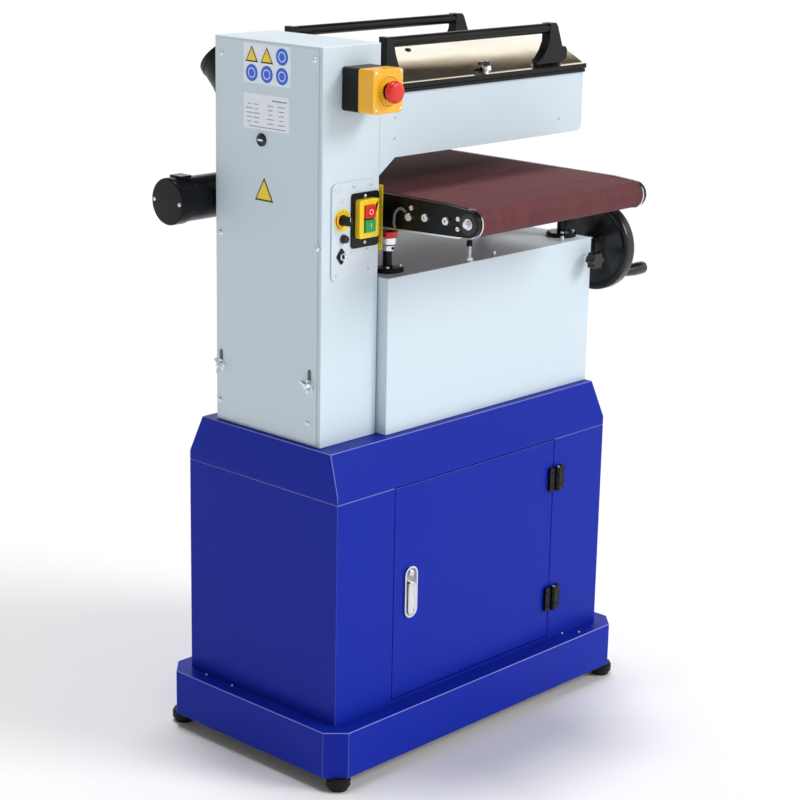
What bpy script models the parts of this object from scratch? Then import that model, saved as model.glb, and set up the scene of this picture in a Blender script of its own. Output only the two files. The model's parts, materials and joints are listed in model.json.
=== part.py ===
"""Open-ended drum sander on a floor cabinet.

Metres, +Z up. X runs along the sanding drum, -Y is the infeed side where the operator stands.
The dimensions below are measured from the middle of the cabinet at floor level. The finished
machine is then shifted so that its own footprint is centred on the world origin.
"""

import math

import bmesh
import bpy
from mathutils import Vector

# --- general -----------------------------------------------------------------------------------
GAP = 0.0003  # between pieces that rest on each other
SHEET = 0.0025  # steel sheet of the cabinet, the column and the lower box
ROUND = 32  # sides of a large round piece
SMALL_ROUND = 20  # sides of a small one

# --- base --------------------------------------------------------------------------------------
PLINTH_HALF = (0.396, 0.2235)
PLINTH_Z = (0.025, 0.110)
PLINTH_CHAMFER = 0.032
PLINTH_SHEET = 0.003
FOOT_AT = (0.368, 0.203)
FOOT_RADIUS = 0.0215
FOOT_STUD = 0.006
CABINET_HALF = (0.362, 0.1875)
CABINET_TOP = 0.512
CAP_SHOULDER = 0.528
CAP_TOP = 0.595
CAP_TOP_HALF = (0.354, 0.162)

# --- door --------------------------------------------------------------------------------------
DOOR_X = (-0.219, 0.213)
DOOR_Z = (0.1185, 0.5105)
DOOR_DEPTH = 0.017
DOOR_SHEET = 0.0015
DOOR_CLEAR = 0.001
HINGE_PIN = (0.2195, -0.1945)
HINGE_KNUCKLE = 0.0055
HINGE_LEAF_X = 0.1985
HINGE_LEAF = 0.002
HINGES_Z = {"upper": (0.4125, 0.4585), "lower": (0.172, 0.219)}
LEVER_X = (-0.190, -0.164)
LEVER_Z = (0.268, 0.338)
LEVER_DEPTH = 0.006

# --- column, lower box and arm -----------------------------------------------------------------
COLUMN_X = (-0.343, -0.208)
COLUMN_Y = (-0.125, 0.135)
COLUMN_TOP = 1.270
COLUMN_OPENING_Y = (-0.100, 0.110)
COLUMN_OPENING_Z = (0.620, 1.235)
COVER_Y = (-0.117, 0.127)
COVER_Z = (0.600, 1.266)
COVER_SHEET = 0.002
BOX_X = (-0.2045, 0.352)
BOX_HALF_Y = 0.147
BOX_TOP = 0.873
ARM_X = (-0.2077, 0.334)
ARM_Y = (-0.125, 0.135)
ARM_Z = (1.075, 1.187)
ARM_SHEET = 0.003
ARM_CORNER = 0.012
GUSSET = (0.038, 0.027)
ARM_SLOT_X = (-0.190, 0.290)
ARM_SLOT_Y = (-0.097, 0.107)

# --- drum drive --------------------------------------------------------------------------------
DRUM_AXIS = (0.005, 1.136)  # Y, Z
DRUM_RADIUS = 0.0635
DRUM_BORE = 0.013
DRUM_X = (-0.178, 0.240)
SHAFT_RADIUS = 0.0125
SHAFT_X = (-0.295, 0.329)
BEARING_HALF = 0.042
BEARING_WIDTH = 0.020
PULLEY_X = (-0.285, -0.255)
DRUM_PULLEY_RADIUS = 0.050
MOTOR_AXIS = (0.005, 0.715)
MOTOR_PULLEY_RADIUS = 0.035
MOTOR_RADIUS = 0.070
MOTOR_X = (-0.185, 0.060)
MOTOR_SHAFT = 0.011
BELT_THICK = 0.006
BELT_CLEAR = 0.0008
BELT_INSET = 0.003
ROLLER_CLEAR = 0.0005
PRESSURE_RADIUS = 0.0125
PRESSURE_JOURNAL = 0.005
PRESSURE_Z = 1.084
PRESSURE_Y = {"infeed": -0.080, "outfeed": 0.090}

# --- hood --------------------------------------------------------------------------------------
HOOD_X = (-0.2065, 0.336)
HOOD_Y = (-0.1255, 0.1345)
HOOD_Z = (1.1903, 1.1995)
HOOD_APEX = (0.035, 1.2425)
HOOD_SHEET = 0.0025
HOOD_HINGE = (0.130, 1.193)
HANDLE_RADIUS = 0.009
HANDLE_Z = 1.267
HANDLE_Y = {"front": -0.110, "rear": 0.118}
HANDLE_X = (-0.182, 0.256)
BRACKET_WIDTH = 0.018
LATCH_AT = (0.0786, -0.108)
LATCH_Z = 1.2125
LATCH_FOOT_Z = 1.2108

# --- dust port ---------------------------------------------------------------------------------
PORT_X = -0.150
PORT_BASE_HALF = 0.054
PORT_BASE_Z = (1.084, 1.180)
PORT_NECK = (0.237, 1.117)  # Y, Z where the round pipe starts
PORT_END = (0.326, 1.206)
PORT_RADIUS = 0.050
PORT_WALL = 0.003

# --- conveyor table ----------------------------------------------------------------------------
FRONT_ROLLER = (-0.3130, 0.9892)
REAR_ROLLER_Y = 0.178
ROLLER_Z = 0.9865
ROLLER_RADIUS = 0.0265
FRONT_ROLLER_RADIUS = 0.0205
ROLLER_JOURNAL = 0.008
CONVEYOR_RADIUS = 0.0295  # outside of the abrasive belt
CONVEYOR_BELT = 0.0025
CONVEYOR_X = (-0.180, 0.250)
SIDE_PLATE = 0.008
SIDE_CLEAR = 0.004
SIDE_RADIUS = 0.0290
NOSE_Y = -0.262  # the top run slopes down to the front roller from here
NOSE_TURN = 95  # where the slope meets the front roller, in degrees
NOSE_SMALLER = 0.006  # how much tighter the belt and side plates turn in front
LUG_Y = (-0.100, 0.100)
LUG_BOTTOM = 0.9558
BED_Y = (-0.260, 0.140)
BED_Z = (1.001, 1.0132)
FRAME_Z = (0.9445, 0.9555)
FRAME_X = (-0.192, 0.347)
FRAME_HALF_Y = 0.107
FRAME_WINDOWS_X = ((-0.125, -0.025), (0.020, 0.120), (0.165, 0.265))
FRAME_WINDOW_HALF = 0.058
GEAR_MOTOR_X = (-0.417, -0.262)
GEAR_MOTOR_RADIUS = 0.041
GEARBOX_HALF = (0.0405, 0.038)
TERMINAL_BOX = ((-0.398, 0.161, 1.015), (-0.366, 0.195, 1.0305))

# --- table lift --------------------------------------------------------------------------------
POST_X = {"left": -0.156, "right": 0.321}
POST_Y = {"front": -0.098, "rear": 0.098}
POST_RADIUS = 0.008
POST_BORE = 0.0095
POST_Z = (0.757, 0.9442)
COLLAR_RADIUS = 0.012
COLLAR_Z = (0.909, 0.933)
FLANGE_RADIUS = 0.028
FLANGE_TOP = 0.881
NUT_BORE = 0.0088
NUT_RADIUS = 0.0118
NUT_Z = (0.812, 0.868)
SPROCKET_RADIUS = 0.021
SPROCKET_Z = (0.816, 0.820)
CHAIN_THICK = 0.005
CHAIN_Z = (0.8155, 0.8205)
LIFT_SHAFT_YZ = (-0.120, 0.849)
LIFT_SHAFT_RADIUS = 0.006
LIFT_SHAFT_X = (0.300, 0.3648)
LIFT_GEAR_X = (0.314, 0.328)
LIFT_GEAR_RADIUS = 0.0095
WHEEL_X = 0.3655  # face of the hub nearest the lower box
WHEEL_RADIUS = 0.086
GRIP_YZ = (-0.1715, 0.8005)
GRIP_X = (0.4150, 0.488)
GRIP_PIN = 0.004
GRIP_RADIUS = 0.0125
LOCK_XZ = (0.330, 0.836)
LOCK_LENGTH = 0.036
POINTER_RADIUS = 0.0145
POINTER_Z = (0.9335, 0.9440)

# --- controls on the column front --------------------------------------------------------------
ESTOP_X = (-0.300, -0.230)
ESTOP_Z = (1.165, 1.237)
ESTOP_BASE_DEPTH = 0.037
ESTOP_DEPTH = 0.072
ESTOP_BUTTON_RADIUS = 0.020
PANEL_X = (-0.322, -0.211)
PANEL_Z = (0.880, 1.045)
PANEL_SHEET = 0.0025
SWITCH_X = (-0.270, -0.224)
SWITCH_Z = (0.949, 1.0145)
SWITCH_DEPTH = 0.0135
SWITCH_BUTTON_X = -0.247
SWITCH_BUTTON_HALF = (0.0115, 0.0105)
SWITCH_BUTTONS_Z = {"stop_button": 0.9935, "start_button": 0.9700}
SWITCH_WELL = 0.010
SWITCH_TRAVEL = 0.0035
SPEED_XZ = (-0.2975, 0.983)
SPEED_RADIUS = 0.0095
SPEED_LENGTH = 0.025

# The outermost pieces fix the middle of the footprint.
FOOTPRINT_X = (GEAR_MOTOR_X[0], GRIP_X[1])
FOOTPRINT_Y = (
    FRONT_ROLLER[0] - CONVEYOR_RADIUS + NOSE_SMALLER,
    PORT_END[0] + PORT_RADIUS * math.sin(math.radians(45)),
)
CENTRE = Vector((sum(FOOTPRINT_X) / 2, sum(FOOTPRINT_Y) / 2, 0.0))

COLOURS = {  # base colour, roughness, metallic
    "blue_paint": ((0.025, 0.027, 0.26), 0.38, 0.0),
    "grey_paint": ((0.66, 0.71, 0.74), 0.42, 0.0),
    "black_paint": ((0.012, 0.012, 0.014), 0.4, 0.0),
    "black_plastic": ((0.015, 0.015, 0.016), 0.45, 0.0),
    "rubber": ((0.02, 0.02, 0.02), 0.8, 0.0),
    "polished_steel": ((0.78, 0.76, 0.72), 0.14, 1.0),
    "machined_steel": ((0.55, 0.55, 0.56), 0.3, 1.0),
    "abrasive": ((0.17, 0.075, 0.07), 0.9, 0.0),
    "silver_panel": ((0.75, 0.76, 0.78), 0.35, 0.6),
    "yellow_plastic": ((0.9, 0.55, 0.03), 0.4, 0.0),
    "red_plastic": ((0.72, 0.03, 0.02), 0.35, 0.0),
    "green_plastic": ((0.05, 0.35, 0.12), 0.35, 0.0),
    "chrome": ((0.8, 0.8, 0.8), 0.1, 1.0),
}


def clear_scene():
    for obj in list(bpy.data.objects):
        bpy.data.objects.remove(obj, do_unlink=True)


def material(name):
    found = bpy.data.materials.get(name)
    if found:
        return found
    colour, roughness, metallic = COLOURS[name]
    made = bpy.data.materials.new(name)
    made.use_nodes = True
    shader = made.node_tree.nodes["Principled BSDF"]
    shader.inputs["Base Color"].default_value = (*colour, 1.0)
    shader.inputs["Roughness"].default_value = roughness
    shader.inputs["Metallic"].default_value = metallic
    made.diffuse_color = (*colour, 1.0)
    return made


# --- placing -----------------------------------------------------------------------------------
def empty(name, at, parent=None):
    """An axis or group that pieces hang from, at a point in the machine's dimensions."""
    made = bpy.data.objects.new(name, None)
    bpy.context.collection.objects.link(made)
    made.empty_display_size = 0.05
    made["at"] = tuple(at)
    made.location = Vector(at)
    if parent:
        made.parent = parent
        made.location -= Vector(parent["at"])
    return made


def finish(bm, name, paint, pivot, at=None):
    """Turns the mesh, made in the machine's dimensions, into an object with its origin at a point."""
    bmesh.ops.recalc_face_normals(bm, faces=bm.faces)
    corners = [v.co for v in bm.verts]
    if at is None:
        low = Vector([min(c[i] for c in corners) for i in range(3)])
        high = Vector([max(c[i] for c in corners) for i in range(3)])
        at = (low + high) / 2
    bmesh.ops.translate(bm, verts=bm.verts, vec=-Vector(at))
    mesh = bpy.data.meshes.new(name)
    bm.to_mesh(mesh)
    bm.free()
    mesh.shade_smooth()
    mesh.set_sharp_from_angle(angle=math.radians(35))
    obj = bpy.data.objects.new(name, mesh)
    bpy.context.collection.objects.link(obj)
    obj.data.materials.append(material(paint))
    obj.parent = pivot
    obj.location = Vector(at) - Vector(pivot["at"])
    return obj


def helper(obj):
    obj.hide_render = True
    obj.display_type = "WIRE"
    return obj


def combine(target, others, operation):
    """One Boolean with all the other pieces at once."""
    group = bpy.data.collections.new(f"{target.name}_{operation.lower()}")
    bpy.context.scene.collection.children.link(group)
    for other in others:
        bpy.context.collection.objects.unlink(other)
        group.objects.link(helper(other))
    step = target.modifiers.new(operation.lower(), "BOOLEAN")
    step.operation = operation
    step.solver = "EXACT"
    step.operand_type = "COLLECTION"
    step.collection = group
    return target


def cut(target, *cutters):
    return combine(target, cutters, "DIFFERENCE")


def weld(target, *additions):
    return combine(target, additions, "UNION")


# --- shapes ------------------------------------------------------------------------------------
def on_axis(axis, along, a, b):
    """A point from its place along an axis and its two other coordinates, in X, Y, Z order."""
    if axis == "X":
        return (along, a, b)
    if axis == "Y":
        return (a, along, b)
    return (a, b, along)


def loft(name, rings, paint, pivot, at=None):
    """A closed skin through rings of points: the first and last rings are filled."""
    bm = bmesh.new()
    made = [[bm.verts.new(p) for p in ring] for ring in rings]
    for low, high in zip(made, made[1:]):
        count = len(low)
        for i in range(count):
            j = (i + 1) % count
            bm.faces.new((low[i], low[j], high[j], high[i]))
    bm.faces.new(made[0])
    bm.faces.new(made[-1])
    return finish(bm, name, paint, pivot, at)


def prism(name, outline, axis, start, end, paint, pivot, at=None):
    rings = [[on_axis(axis, along, a, b) for a, b in outline] for along in (start, end)]
    return loft(name, rings, paint, pivot, at)


def box(name, low, high, paint, pivot, at=None):
    outline = [(low[0], low[1]), (high[0], low[1]), (high[0], high[1]), (low[0], high[1])]
    return prism(name, outline, "Z", low[2], high[2], paint, pivot, at)


def tube(name, outer, inner, axis, start, end, paint, pivot, at=None):
    """A ring of any outline, open right through. Both outlines have the same count of points."""
    order = ((outer, start), (outer, end), (inner, end), (inner, start))
    return closed_loft(
        name, [[on_axis(axis, s, a, b) for a, b in line] for line, s in order], paint, pivot, at
    )


def closed_loft(name, rings, paint, pivot, at=None):
    """A skin through rings of points that ends where it began, like a pipe's wall."""
    bm = bmesh.new()
    made = [[bm.verts.new(p) for p in ring] for ring in rings]
    for low, high in zip(made, made[1:] + made[:1]):
        count = len(low)
        for i in range(count):
            j = (i + 1) % count
            bm.faces.new((low[i], low[j], high[j], high[i]))
    return finish(bm, name, paint, pivot, at)


def turned(name, profile, axis, centre, sides, paint, pivot, at=None):
    """A profile of (place along the axis, radius), turned about the axis through centre."""
    bm = bmesh.new()
    rings = []
    for along, radius in profile:
        if radius == 0.0:
            rings.append([bm.verts.new(on_axis(axis, along, *centre))])
            continue
        ring = []
        for i in range(sides):
            turn = 2 * math.pi * (i + 0.5) / sides
            point = (centre[0] + radius * math.cos(turn), centre[1] + radius * math.sin(turn))
            ring.append(bm.verts.new(on_axis(axis, along, *point)))
        rings.append(ring)
    pairs = list(zip(rings, rings[1:]))
    if profile[0][1] != 0.0:
        pairs.append((rings[-1], rings[0]))
    for low, high in pairs:
        for i in range(sides):
            j = (i + 1) % sides
            if len(low) == 1:
                bm.faces.new((low[0], high[j], high[i]))
            elif len(high) == 1:
                bm.faces.new((low[i], low[j], high[0]))
            else:
                bm.faces.new((low[i], low[j], high[j], high[i]))
    return finish(bm, name, paint, pivot, at)


def rod(name, axis, centre, radius, start, end, sides, paint, pivot, at=None):
    profile = [(start, 0.0), (start, radius), (end, radius), (end, 0.0)]
    return turned(name, profile, axis, centre, sides, paint, pivot, at)


def arc(centre, radius, start, end, steps):
    """Points of an arc, in degrees, with both ends."""
    points = []
    for i in range(steps + 1):
        turn = math.radians(start + (end - start) * i / steps)
        points.append((centre[0] + radius * math.cos(turn), centre[1] + radius * math.sin(turn)))
    return points


def round_rectangle(low, high, radius, steps=4):
    corners = (
        ((high[0] - radius, high[1] - radius), 0),
        ((low[0] + radius, high[1] - radius), 90),
        ((low[0] + radius, low[1] + radius), 180),
        ((high[0] - radius, low[1] + radius), 270),
    )
    return [p for centre, turn in corners for p in arc(centre, radius, turn, turn + 90, steps)]


def strap(first, first_radius, second, second_radius, steps=12):
    """The taut outline round two circles, counter-clockwise. The first circle is the higher one."""
    across = Vector(second) - Vector(first)
    heading = math.degrees(math.atan2(across.y, across.x))
    lean = math.degrees(math.acos((first_radius - second_radius) / across.length))
    return arc(first, first_radius, heading + lean, heading + 360 - lean, steps) + arc(
        second, second_radius, heading - lean, heading + lean, steps
    )


def conveyor_outline(radius, steps=12):
    """A loop round the conveyor: flat on top, then sloping to the smaller front roller."""
    tight = radius - NOSE_SMALLER
    rear = arc((REAR_ROLLER_Y, ROLLER_Z), radius, -90, 90, steps)
    rise = arc(FRONT_ROLLER, tight, NOSE_TURN, 180, steps // 2)
    fall = arc(FRONT_ROLLER, tight, 180, 270, steps // 2)
    return [*rear, (NOSE_Y, ROLLER_Z + radius), *rise, *fall[1:]]


# --- base --------------------------------------------------------------------------------------
def chamfered(half, chamfer, z):
    x, y = half
    return [
        (x, -y + chamfer, z),
        (x, y - chamfer, z),
        (x - chamfer, y, z),
        (-x + chamfer, y, z),
        (-x, y - chamfer, z),
        (-x, -y + chamfer, z),
        (-x + chamfer, -y, z),
        (x - chamfer, -y, z),
    ]


def base_plinth(base):
    bottom, top = PLINTH_Z
    tray = loft(
        "base_plinth",
        [chamfered(PLINTH_HALF, PLINTH_CHAMFER, z) for z in (bottom, top)],
        "blue_paint",
        base,
    )
    inner = [v - PLINTH_SHEET for v in PLINTH_HALF]
    levels = (bottom - PLINTH_SHEET, top - PLINTH_SHEET)
    rings = [chamfered(inner, PLINTH_CHAMFER, z) for z in levels]
    cut(tray, loft("plinth_hollow", rings, "blue_paint", base))


def levelling_foot(name, x, y, base):
    stud_top = PLINTH_Z[1] - PLINTH_SHEET - GAP
    pad_top = PLINTH_Z[0] - GAP
    r = FOOT_RADIUS
    profile = [
        (0.0, 0.0),
        (0.0, r * 0.86),
        (0.003, r * 0.98),
        (0.011, r),
        (0.014, r * 0.80),
        (0.019, r * 0.80),
        (pad_top, r * 0.92),
        (pad_top, FOOT_STUD),
        (stud_top, FOOT_STUD),
        (stud_top, 0.0),
    ]
    turned(name, profile, "Z", (x, y), SMALL_ROUND, "rubber", base)


def cabinet_shell(base):
    x, y = CABINET_HALF
    bottom = PLINTH_Z[1] + GAP
    shell = box("cabinet_shell", (-x, -y, bottom), (x, y, CABINET_TOP), "blue_paint", base)
    hollow = box(
        "cabinet_hollow",
        (-x + SHEET, -y + SHEET, bottom + SHEET),
        (x - SHEET, y - SHEET, CABINET_TOP + SHEET),
        "blue_paint",
        base,
    )
    doorway = box(
        "cabinet_doorway",
        (DOOR_X[0] - DOOR_CLEAR, -y - SHEET, DOOR_Z[0] - DOOR_CLEAR),
        (DOOR_X[1] + DOOR_CLEAR, -y + 2 * SHEET, CABINET_TOP + SHEET),
        "blue_paint",
        base,
    )
    cut(shell, hollow, doorway)


def cap_ring(half, z, inset=0.0):
    x, y = half[0] - inset, half[1] - inset
    return [(x, -y, z), (x, y, z), (-x, y, z), (-x, -y, z)]


def cabinet_cap(base):
    low = CABINET_TOP + GAP
    outer = [
        cap_ring(CABINET_HALF, low),
        cap_ring(CABINET_HALF, CAP_SHOULDER),
        cap_ring(CAP_TOP_HALF, CAP_TOP),
    ]
    inner = [
        cap_ring(CABINET_HALF, low - SHEET, SHEET),
        cap_ring(CABINET_HALF, CAP_SHOULDER - SHEET / 2, SHEET),
        cap_ring(CAP_TOP_HALF, CAP_TOP - SHEET, SHEET),
    ]
    cap = loft("cabinet_cap", outer, "blue_paint", base)
    cut(cap, loft("cap_hollow", inner, "blue_paint", base))


# --- door --------------------------------------------------------------------------------------
def cabinet_door(door, lever):
    front = -CABINET_HALF[1]
    panel = box(
        "cabinet_door",
        (DOOR_X[0], front, DOOR_Z[0]),
        (DOOR_X[1], front + DOOR_DEPTH, DOOR_Z[1]),
        "blue_paint",
        door,
        at=(*HINGE_PIN, DOOR_Z[0]),
    )
    hollow = box(
        "door_hollow",
        (DOOR_X[0] + DOOR_SHEET, front + DOOR_SHEET, DOOR_Z[0] + DOOR_SHEET),
        (DOOR_X[1] - DOOR_SHEET, front + 2 * DOOR_DEPTH, DOOR_Z[1] - DOOR_SHEET),
        "blue_paint",
        door,
    )
    cut(panel, hollow)
    for name, (low, high) in HINGES_Z.items():
        knuckle = rod(
            f"door_hinge_{name}", "Z", HINGE_PIN, HINGE_KNUCKLE, low, high, SMALL_ROUND,
            "black_paint", door, at=(*HINGE_PIN, low),
        )
        leaf = box(
            f"hinge_leaf_{name}",
            (HINGE_LEAF_X, front - GAP - HINGE_LEAF, low),
            (HINGE_PIN[0] - HINGE_KNUCKLE / 2, front - GAP, high),
            "black_paint",
            door,
        )
        bend = box(
            f"hinge_bend_{name}",
            (HINGE_PIN[0] - HINGE_KNUCKLE, HINGE_PIN[1], low),
            (HINGE_PIN[0] - HINGE_KNUCKLE / 2, front - GAP - HINGE_LEAF / 2, high),
            "black_paint",
            door,
        )
        weld(knuckle, leaf, bend)
    outline = round_rectangle((LEVER_X[0], LEVER_Z[0]), (LEVER_X[1], LEVER_Z[1]), 0.010)
    prism(
        "door_handle", outline, "Y", front - GAP - LEVER_DEPTH, front - GAP, "chrome", lever,
        at=((LEVER_X[0] + LEVER_X[1]) / 2, front - GAP, LEVER_Z[0]),
    )


# --- column and lower box ----------------------------------------------------------------------
def column_shell(base):
    low = CAP_TOP + GAP
    shell = box(
        "column_shell",
        (COLUMN_X[0], COLUMN_Y[0], low),
        (COLUMN_X[1], COLUMN_Y[1], COLUMN_TOP),
        "grey_paint",
        base,
    )
    hollow = box(
        "column_hollow",
        (COLUMN_X[0] + SHEET, COLUMN_Y[0] + SHEET, low - SHEET),
        (COLUMN_X[1] - SHEET, COLUMN_Y[1] - SHEET, COLUMN_TOP - SHEET),
        "grey_paint",
        base,
    )
    service = box(
        "column_service",
        (COLUMN_X[0] - SHEET, COLUMN_OPENING_Y[0], COLUMN_OPENING_Z[0]),
        (COLUMN_X[0] + 2 * SHEET, COLUMN_OPENING_Y[1], COLUMN_OPENING_Z[1]),
        "grey_paint",
        base,
    )
    wall = (COLUMN_X[1] - 2 * SHEET, COLUMN_X[1] + 2 * SHEET)
    holes = [
        rod(f"column_hole_{i}", "X", axis, radius, *wall, SMALL_ROUND, "grey_paint", base)
        for i, (axis, radius) in enumerate(((DRUM_AXIS, 0.020), (MOTOR_AXIS, 0.028)))
    ]
    cut(shell, hollow, service, *holes)


def column_side_cover(base):
    x = COLUMN_X[0] - GAP
    box(
        "column_side_cover",
        (x - COVER_SHEET, COVER_Y[0], COVER_Z[0]),
        (x, COVER_Y[1], COVER_Z[1]),
        "grey_paint",
        base,
    )


def post_places():
    for side_y, y in POST_Y.items():
        for side_x, x in POST_X.items():
            yield f"{side_y}_{side_x}", (x, y)


def lower_box(base):
    low = CAP_TOP + GAP
    shell = box(
        "lower_box",
        (BOX_X[0], -BOX_HALF_Y, low),
        (BOX_X[1], BOX_HALF_Y, BOX_TOP),
        "grey_paint",
        base,
    )
    hollow = box(
        "box_hollow",
        (BOX_X[0] + SHEET, -BOX_HALF_Y + SHEET, low - SHEET),
        (BOX_X[1] - SHEET, BOX_HALF_Y - SHEET, BOX_TOP - SHEET),
        "grey_paint",
        base,
    )
    flanges = []
    bores = []
    for name, place in post_places():
        start = BOX_TOP - SHEET / 2
        flanges.append(
            rod(f"flange_{name}", "Z", place, FLANGE_RADIUS, start, FLANGE_TOP, SMALL_ROUND,
                "grey_paint", base)
        )
        bores.append(
            rod(f"post_bore_{name}", "Z", place, POST_BORE, BOX_TOP - 2 * SHEET, FLANGE_TOP + SHEET,
                SMALL_ROUND, "grey_paint", base)
        )
    motor_hole = rod(
        "box_motor_hole", "X", MOTOR_AXIS, 0.028, BOX_X[0] - SHEET, BOX_X[0] + 2 * SHEET,
        SMALL_ROUND, "grey_paint", base,
    )
    shaft_hole = rod(
        "box_shaft_hole", "X", LIFT_SHAFT_YZ, 0.009, BOX_X[1] - 2 * SHEET, BOX_X[1] + SHEET,
        SMALL_ROUND, "grey_paint", base,
    )
    weld(shell, *flanges)
    cut(shell, hollow, motor_hole, shaft_hole, *bores)


# --- arm ---------------------------------------------------------------------------------------
def arm_housing(base):
    left, right = ARM_X
    bottom, top = ARM_Z
    corner = arc((right - ARM_CORNER, bottom + ARM_CORNER), ARM_CORNER, -90, 0, 4)
    outline = [
        (left, bottom - GUSSET[1]),
        (left + GUSSET[0], bottom),
        *corner,
        (right, top),
        (left, top),
    ]
    arm = prism("arm_housing", outline, "Y", *ARM_Y, "grey_paint", base)
    inside_y = (ARM_Y[0] + ARM_SHEET, ARM_Y[1] - ARM_SHEET)
    hollow = box(
        "arm_hollow",
        (left + ARM_SHEET, inside_y[0], bottom + ARM_SHEET),
        (right - ARM_SHEET, inside_y[1], top + ARM_SHEET),
        "grey_paint",
        base,
    )
    under = box(
        "arm_under",
        (left - ARM_SHEET, inside_y[0], bottom - 2 * GUSSET[1]),
        (left + 2 * GUSSET[0], inside_y[1], bottom + ARM_SHEET / 4),
        "grey_paint",
        base,
    )
    slot = box(
        "arm_slot",
        (ARM_SLOT_X[0], ARM_SLOT_Y[0], bottom - ARM_SHEET),
        (ARM_SLOT_X[1], ARM_SLOT_Y[1], bottom + 2 * ARM_SHEET),
        "grey_paint",
        base,
    )
    shaft_hole = rod(
        "arm_shaft_hole", "X", DRUM_AXIS, 0.020, left - ARM_SHEET, left + 2 * ARM_SHEET,
        SMALL_ROUND, "grey_paint", base,
    )
    dust_hole = box(
        "arm_dust_hole",
        (PORT_X - 0.045, inside_y[1] - ARM_SHEET, PORT_BASE_Z[0] + 0.009),
        (PORT_X + 0.045, ARM_Y[1] + ARM_SHEET, PORT_BASE_Z[1] - 0.009),
        "grey_paint",
        base,
    )
    cut(arm, hollow, under, slot, shaft_hole, dust_hole)


def dust_port(base):
    """A rectangular mouth on the arm's back that runs into a round pipe pointing back and up."""
    count = 24
    slope = math.radians(45)

    def round_ring(centre, radius):
        ring = []
        for i in range(count):
            turn = 2 * math.pi * (i + 0.5) / count
            across, rise = radius * math.cos(turn), radius * math.sin(turn)
            y = centre[0] - rise * math.sin(slope)
            ring.append((PORT_X + across, y, centre[1] + rise * math.cos(slope)))
        return ring

    def mouth_ring(y, inset):
        """A rectangle with its points in the same directions as the round rings' points."""
        half = (PORT_BASE_HALF - inset, (PORT_BASE_Z[1] - PORT_BASE_Z[0]) / 2 - inset)
        middle = sum(PORT_BASE_Z) / 2
        ring = []
        for i in range(count):
            turn = 2 * math.pi * (i + 0.5) / count
            reach = max(abs(math.cos(turn)), abs(math.sin(turn)))
            across = half[0] * math.cos(turn) / reach
            ring.append((PORT_X + across, y, middle + half[1] * math.sin(turn) / reach))
        return ring

    back = ARM_Y[1] + GAP
    inner = PORT_RADIUS - PORT_WALL
    rings = [
        mouth_ring(back, 0.0),
        mouth_ring(back + 0.010, 0.0),
        round_ring(PORT_NECK, PORT_RADIUS),
        round_ring(PORT_END, PORT_RADIUS),
        round_ring(PORT_END, inner),
        round_ring(PORT_NECK, inner),
        mouth_ring(back + 0.010, PORT_WALL),
        mouth_ring(back, PORT_WALL),
    ]
    closed_loft("dust_port", rings, "black_plastic", base)


# --- drum and its drive ------------------------------------------------------------------------
def bore_profile(start, end, radius, bore):
    return [(start, bore), (start, radius), (end, radius), (end, bore)]


def sanding_drum(drum):
    at = (DRUM_X[0], *DRUM_AXIS)
    profile = bore_profile(*DRUM_X, DRUM_RADIUS, DRUM_BORE)
    turned("sanding_drum", profile, "X", DRUM_AXIS, ROUND, "abrasive", drum, at=at)
    rod("drum_shaft", "X", DRUM_AXIS, SHAFT_RADIUS, *SHAFT_X, ROUND, "machined_steel", drum, at=at)
    grooved = bore_profile(*PULLEY_X, DRUM_PULLEY_RADIUS, DRUM_BORE)
    turned("drum_pulley", grooved, "X", DRUM_AXIS, ROUND, "machined_steel", drum, at=at)


def drum_bearing(name, start, base):
    y, z = DRUM_AXIS
    low, high = (y - BEARING_HALF, z - BEARING_HALF), (y + BEARING_HALF, z + BEARING_HALF)
    outline = round_rectangle(low, high, 0.016, 3)
    block = prism(name, outline, "X", start, start + BEARING_WIDTH, "black_paint", base)
    reach = (start - BEARING_WIDTH, start + 2 * BEARING_WIDTH)
    cut(block, rod(f"{name}_bore", "X", DRUM_AXIS, DRUM_BORE, *reach, ROUND, "black_paint", base))


def main_motor(base):
    motor = rod(
        "main_motor", "X", MOTOR_AXIS, MOTOR_RADIUS, *MOTOR_X, ROUND, "black_paint", base
    )
    y, z = MOTOR_AXIS
    floor = CAP_TOP + GAP
    foot = box(
        "motor_foot",
        (MOTOR_X[0] + 0.045, y - 0.062, floor),
        (MOTOR_X[1] - 0.045, y + 0.062, z - 0.045),
        "black_paint",
        base,
    )
    terminals = box(
        "motor_terminals",
        (MOTOR_X[0] + 0.050, y - 0.035, z + 0.05),
        (MOTOR_X[1] - 0.095, y + 0.035, z + MOTOR_RADIUS + 0.018),
        "black_paint",
        base,
    )
    weld(motor, foot, terminals)


def motor_pulley(pulley):
    at = (PULLEY_X[0], *MOTOR_AXIS)
    start, end = PULLEY_X
    profile = [
        (start, 0.0),
        (start, MOTOR_PULLEY_RADIUS),
        (end, MOTOR_PULLEY_RADIUS),
        (end, MOTOR_SHAFT),
        (MOTOR_X[0] - GAP, MOTOR_SHAFT),
        (MOTOR_X[0] - GAP, 0.0),
    ]
    turned("motor_pulley", profile, "X", MOTOR_AXIS, ROUND, "machined_steel", pulley, at=at)


def drive_belt(base):
    """The belt runs round the drum pulley at the top and the motor pulley at the bottom."""
    inner = strap(
        DRUM_AXIS, DRUM_PULLEY_RADIUS + BELT_CLEAR, MOTOR_AXIS, MOTOR_PULLEY_RADIUS + BELT_CLEAR
    )
    reach = BELT_CLEAR + BELT_THICK
    outer = strap(DRUM_AXIS, DRUM_PULLEY_RADIUS + reach, MOTOR_AXIS, MOTOR_PULLEY_RADIUS + reach)
    start, end = PULLEY_X[0] + BELT_INSET, PULLEY_X[1] - BELT_INSET
    tube("drive_belt", outer, inner, "X", start, end, "rubber", base)


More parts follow.
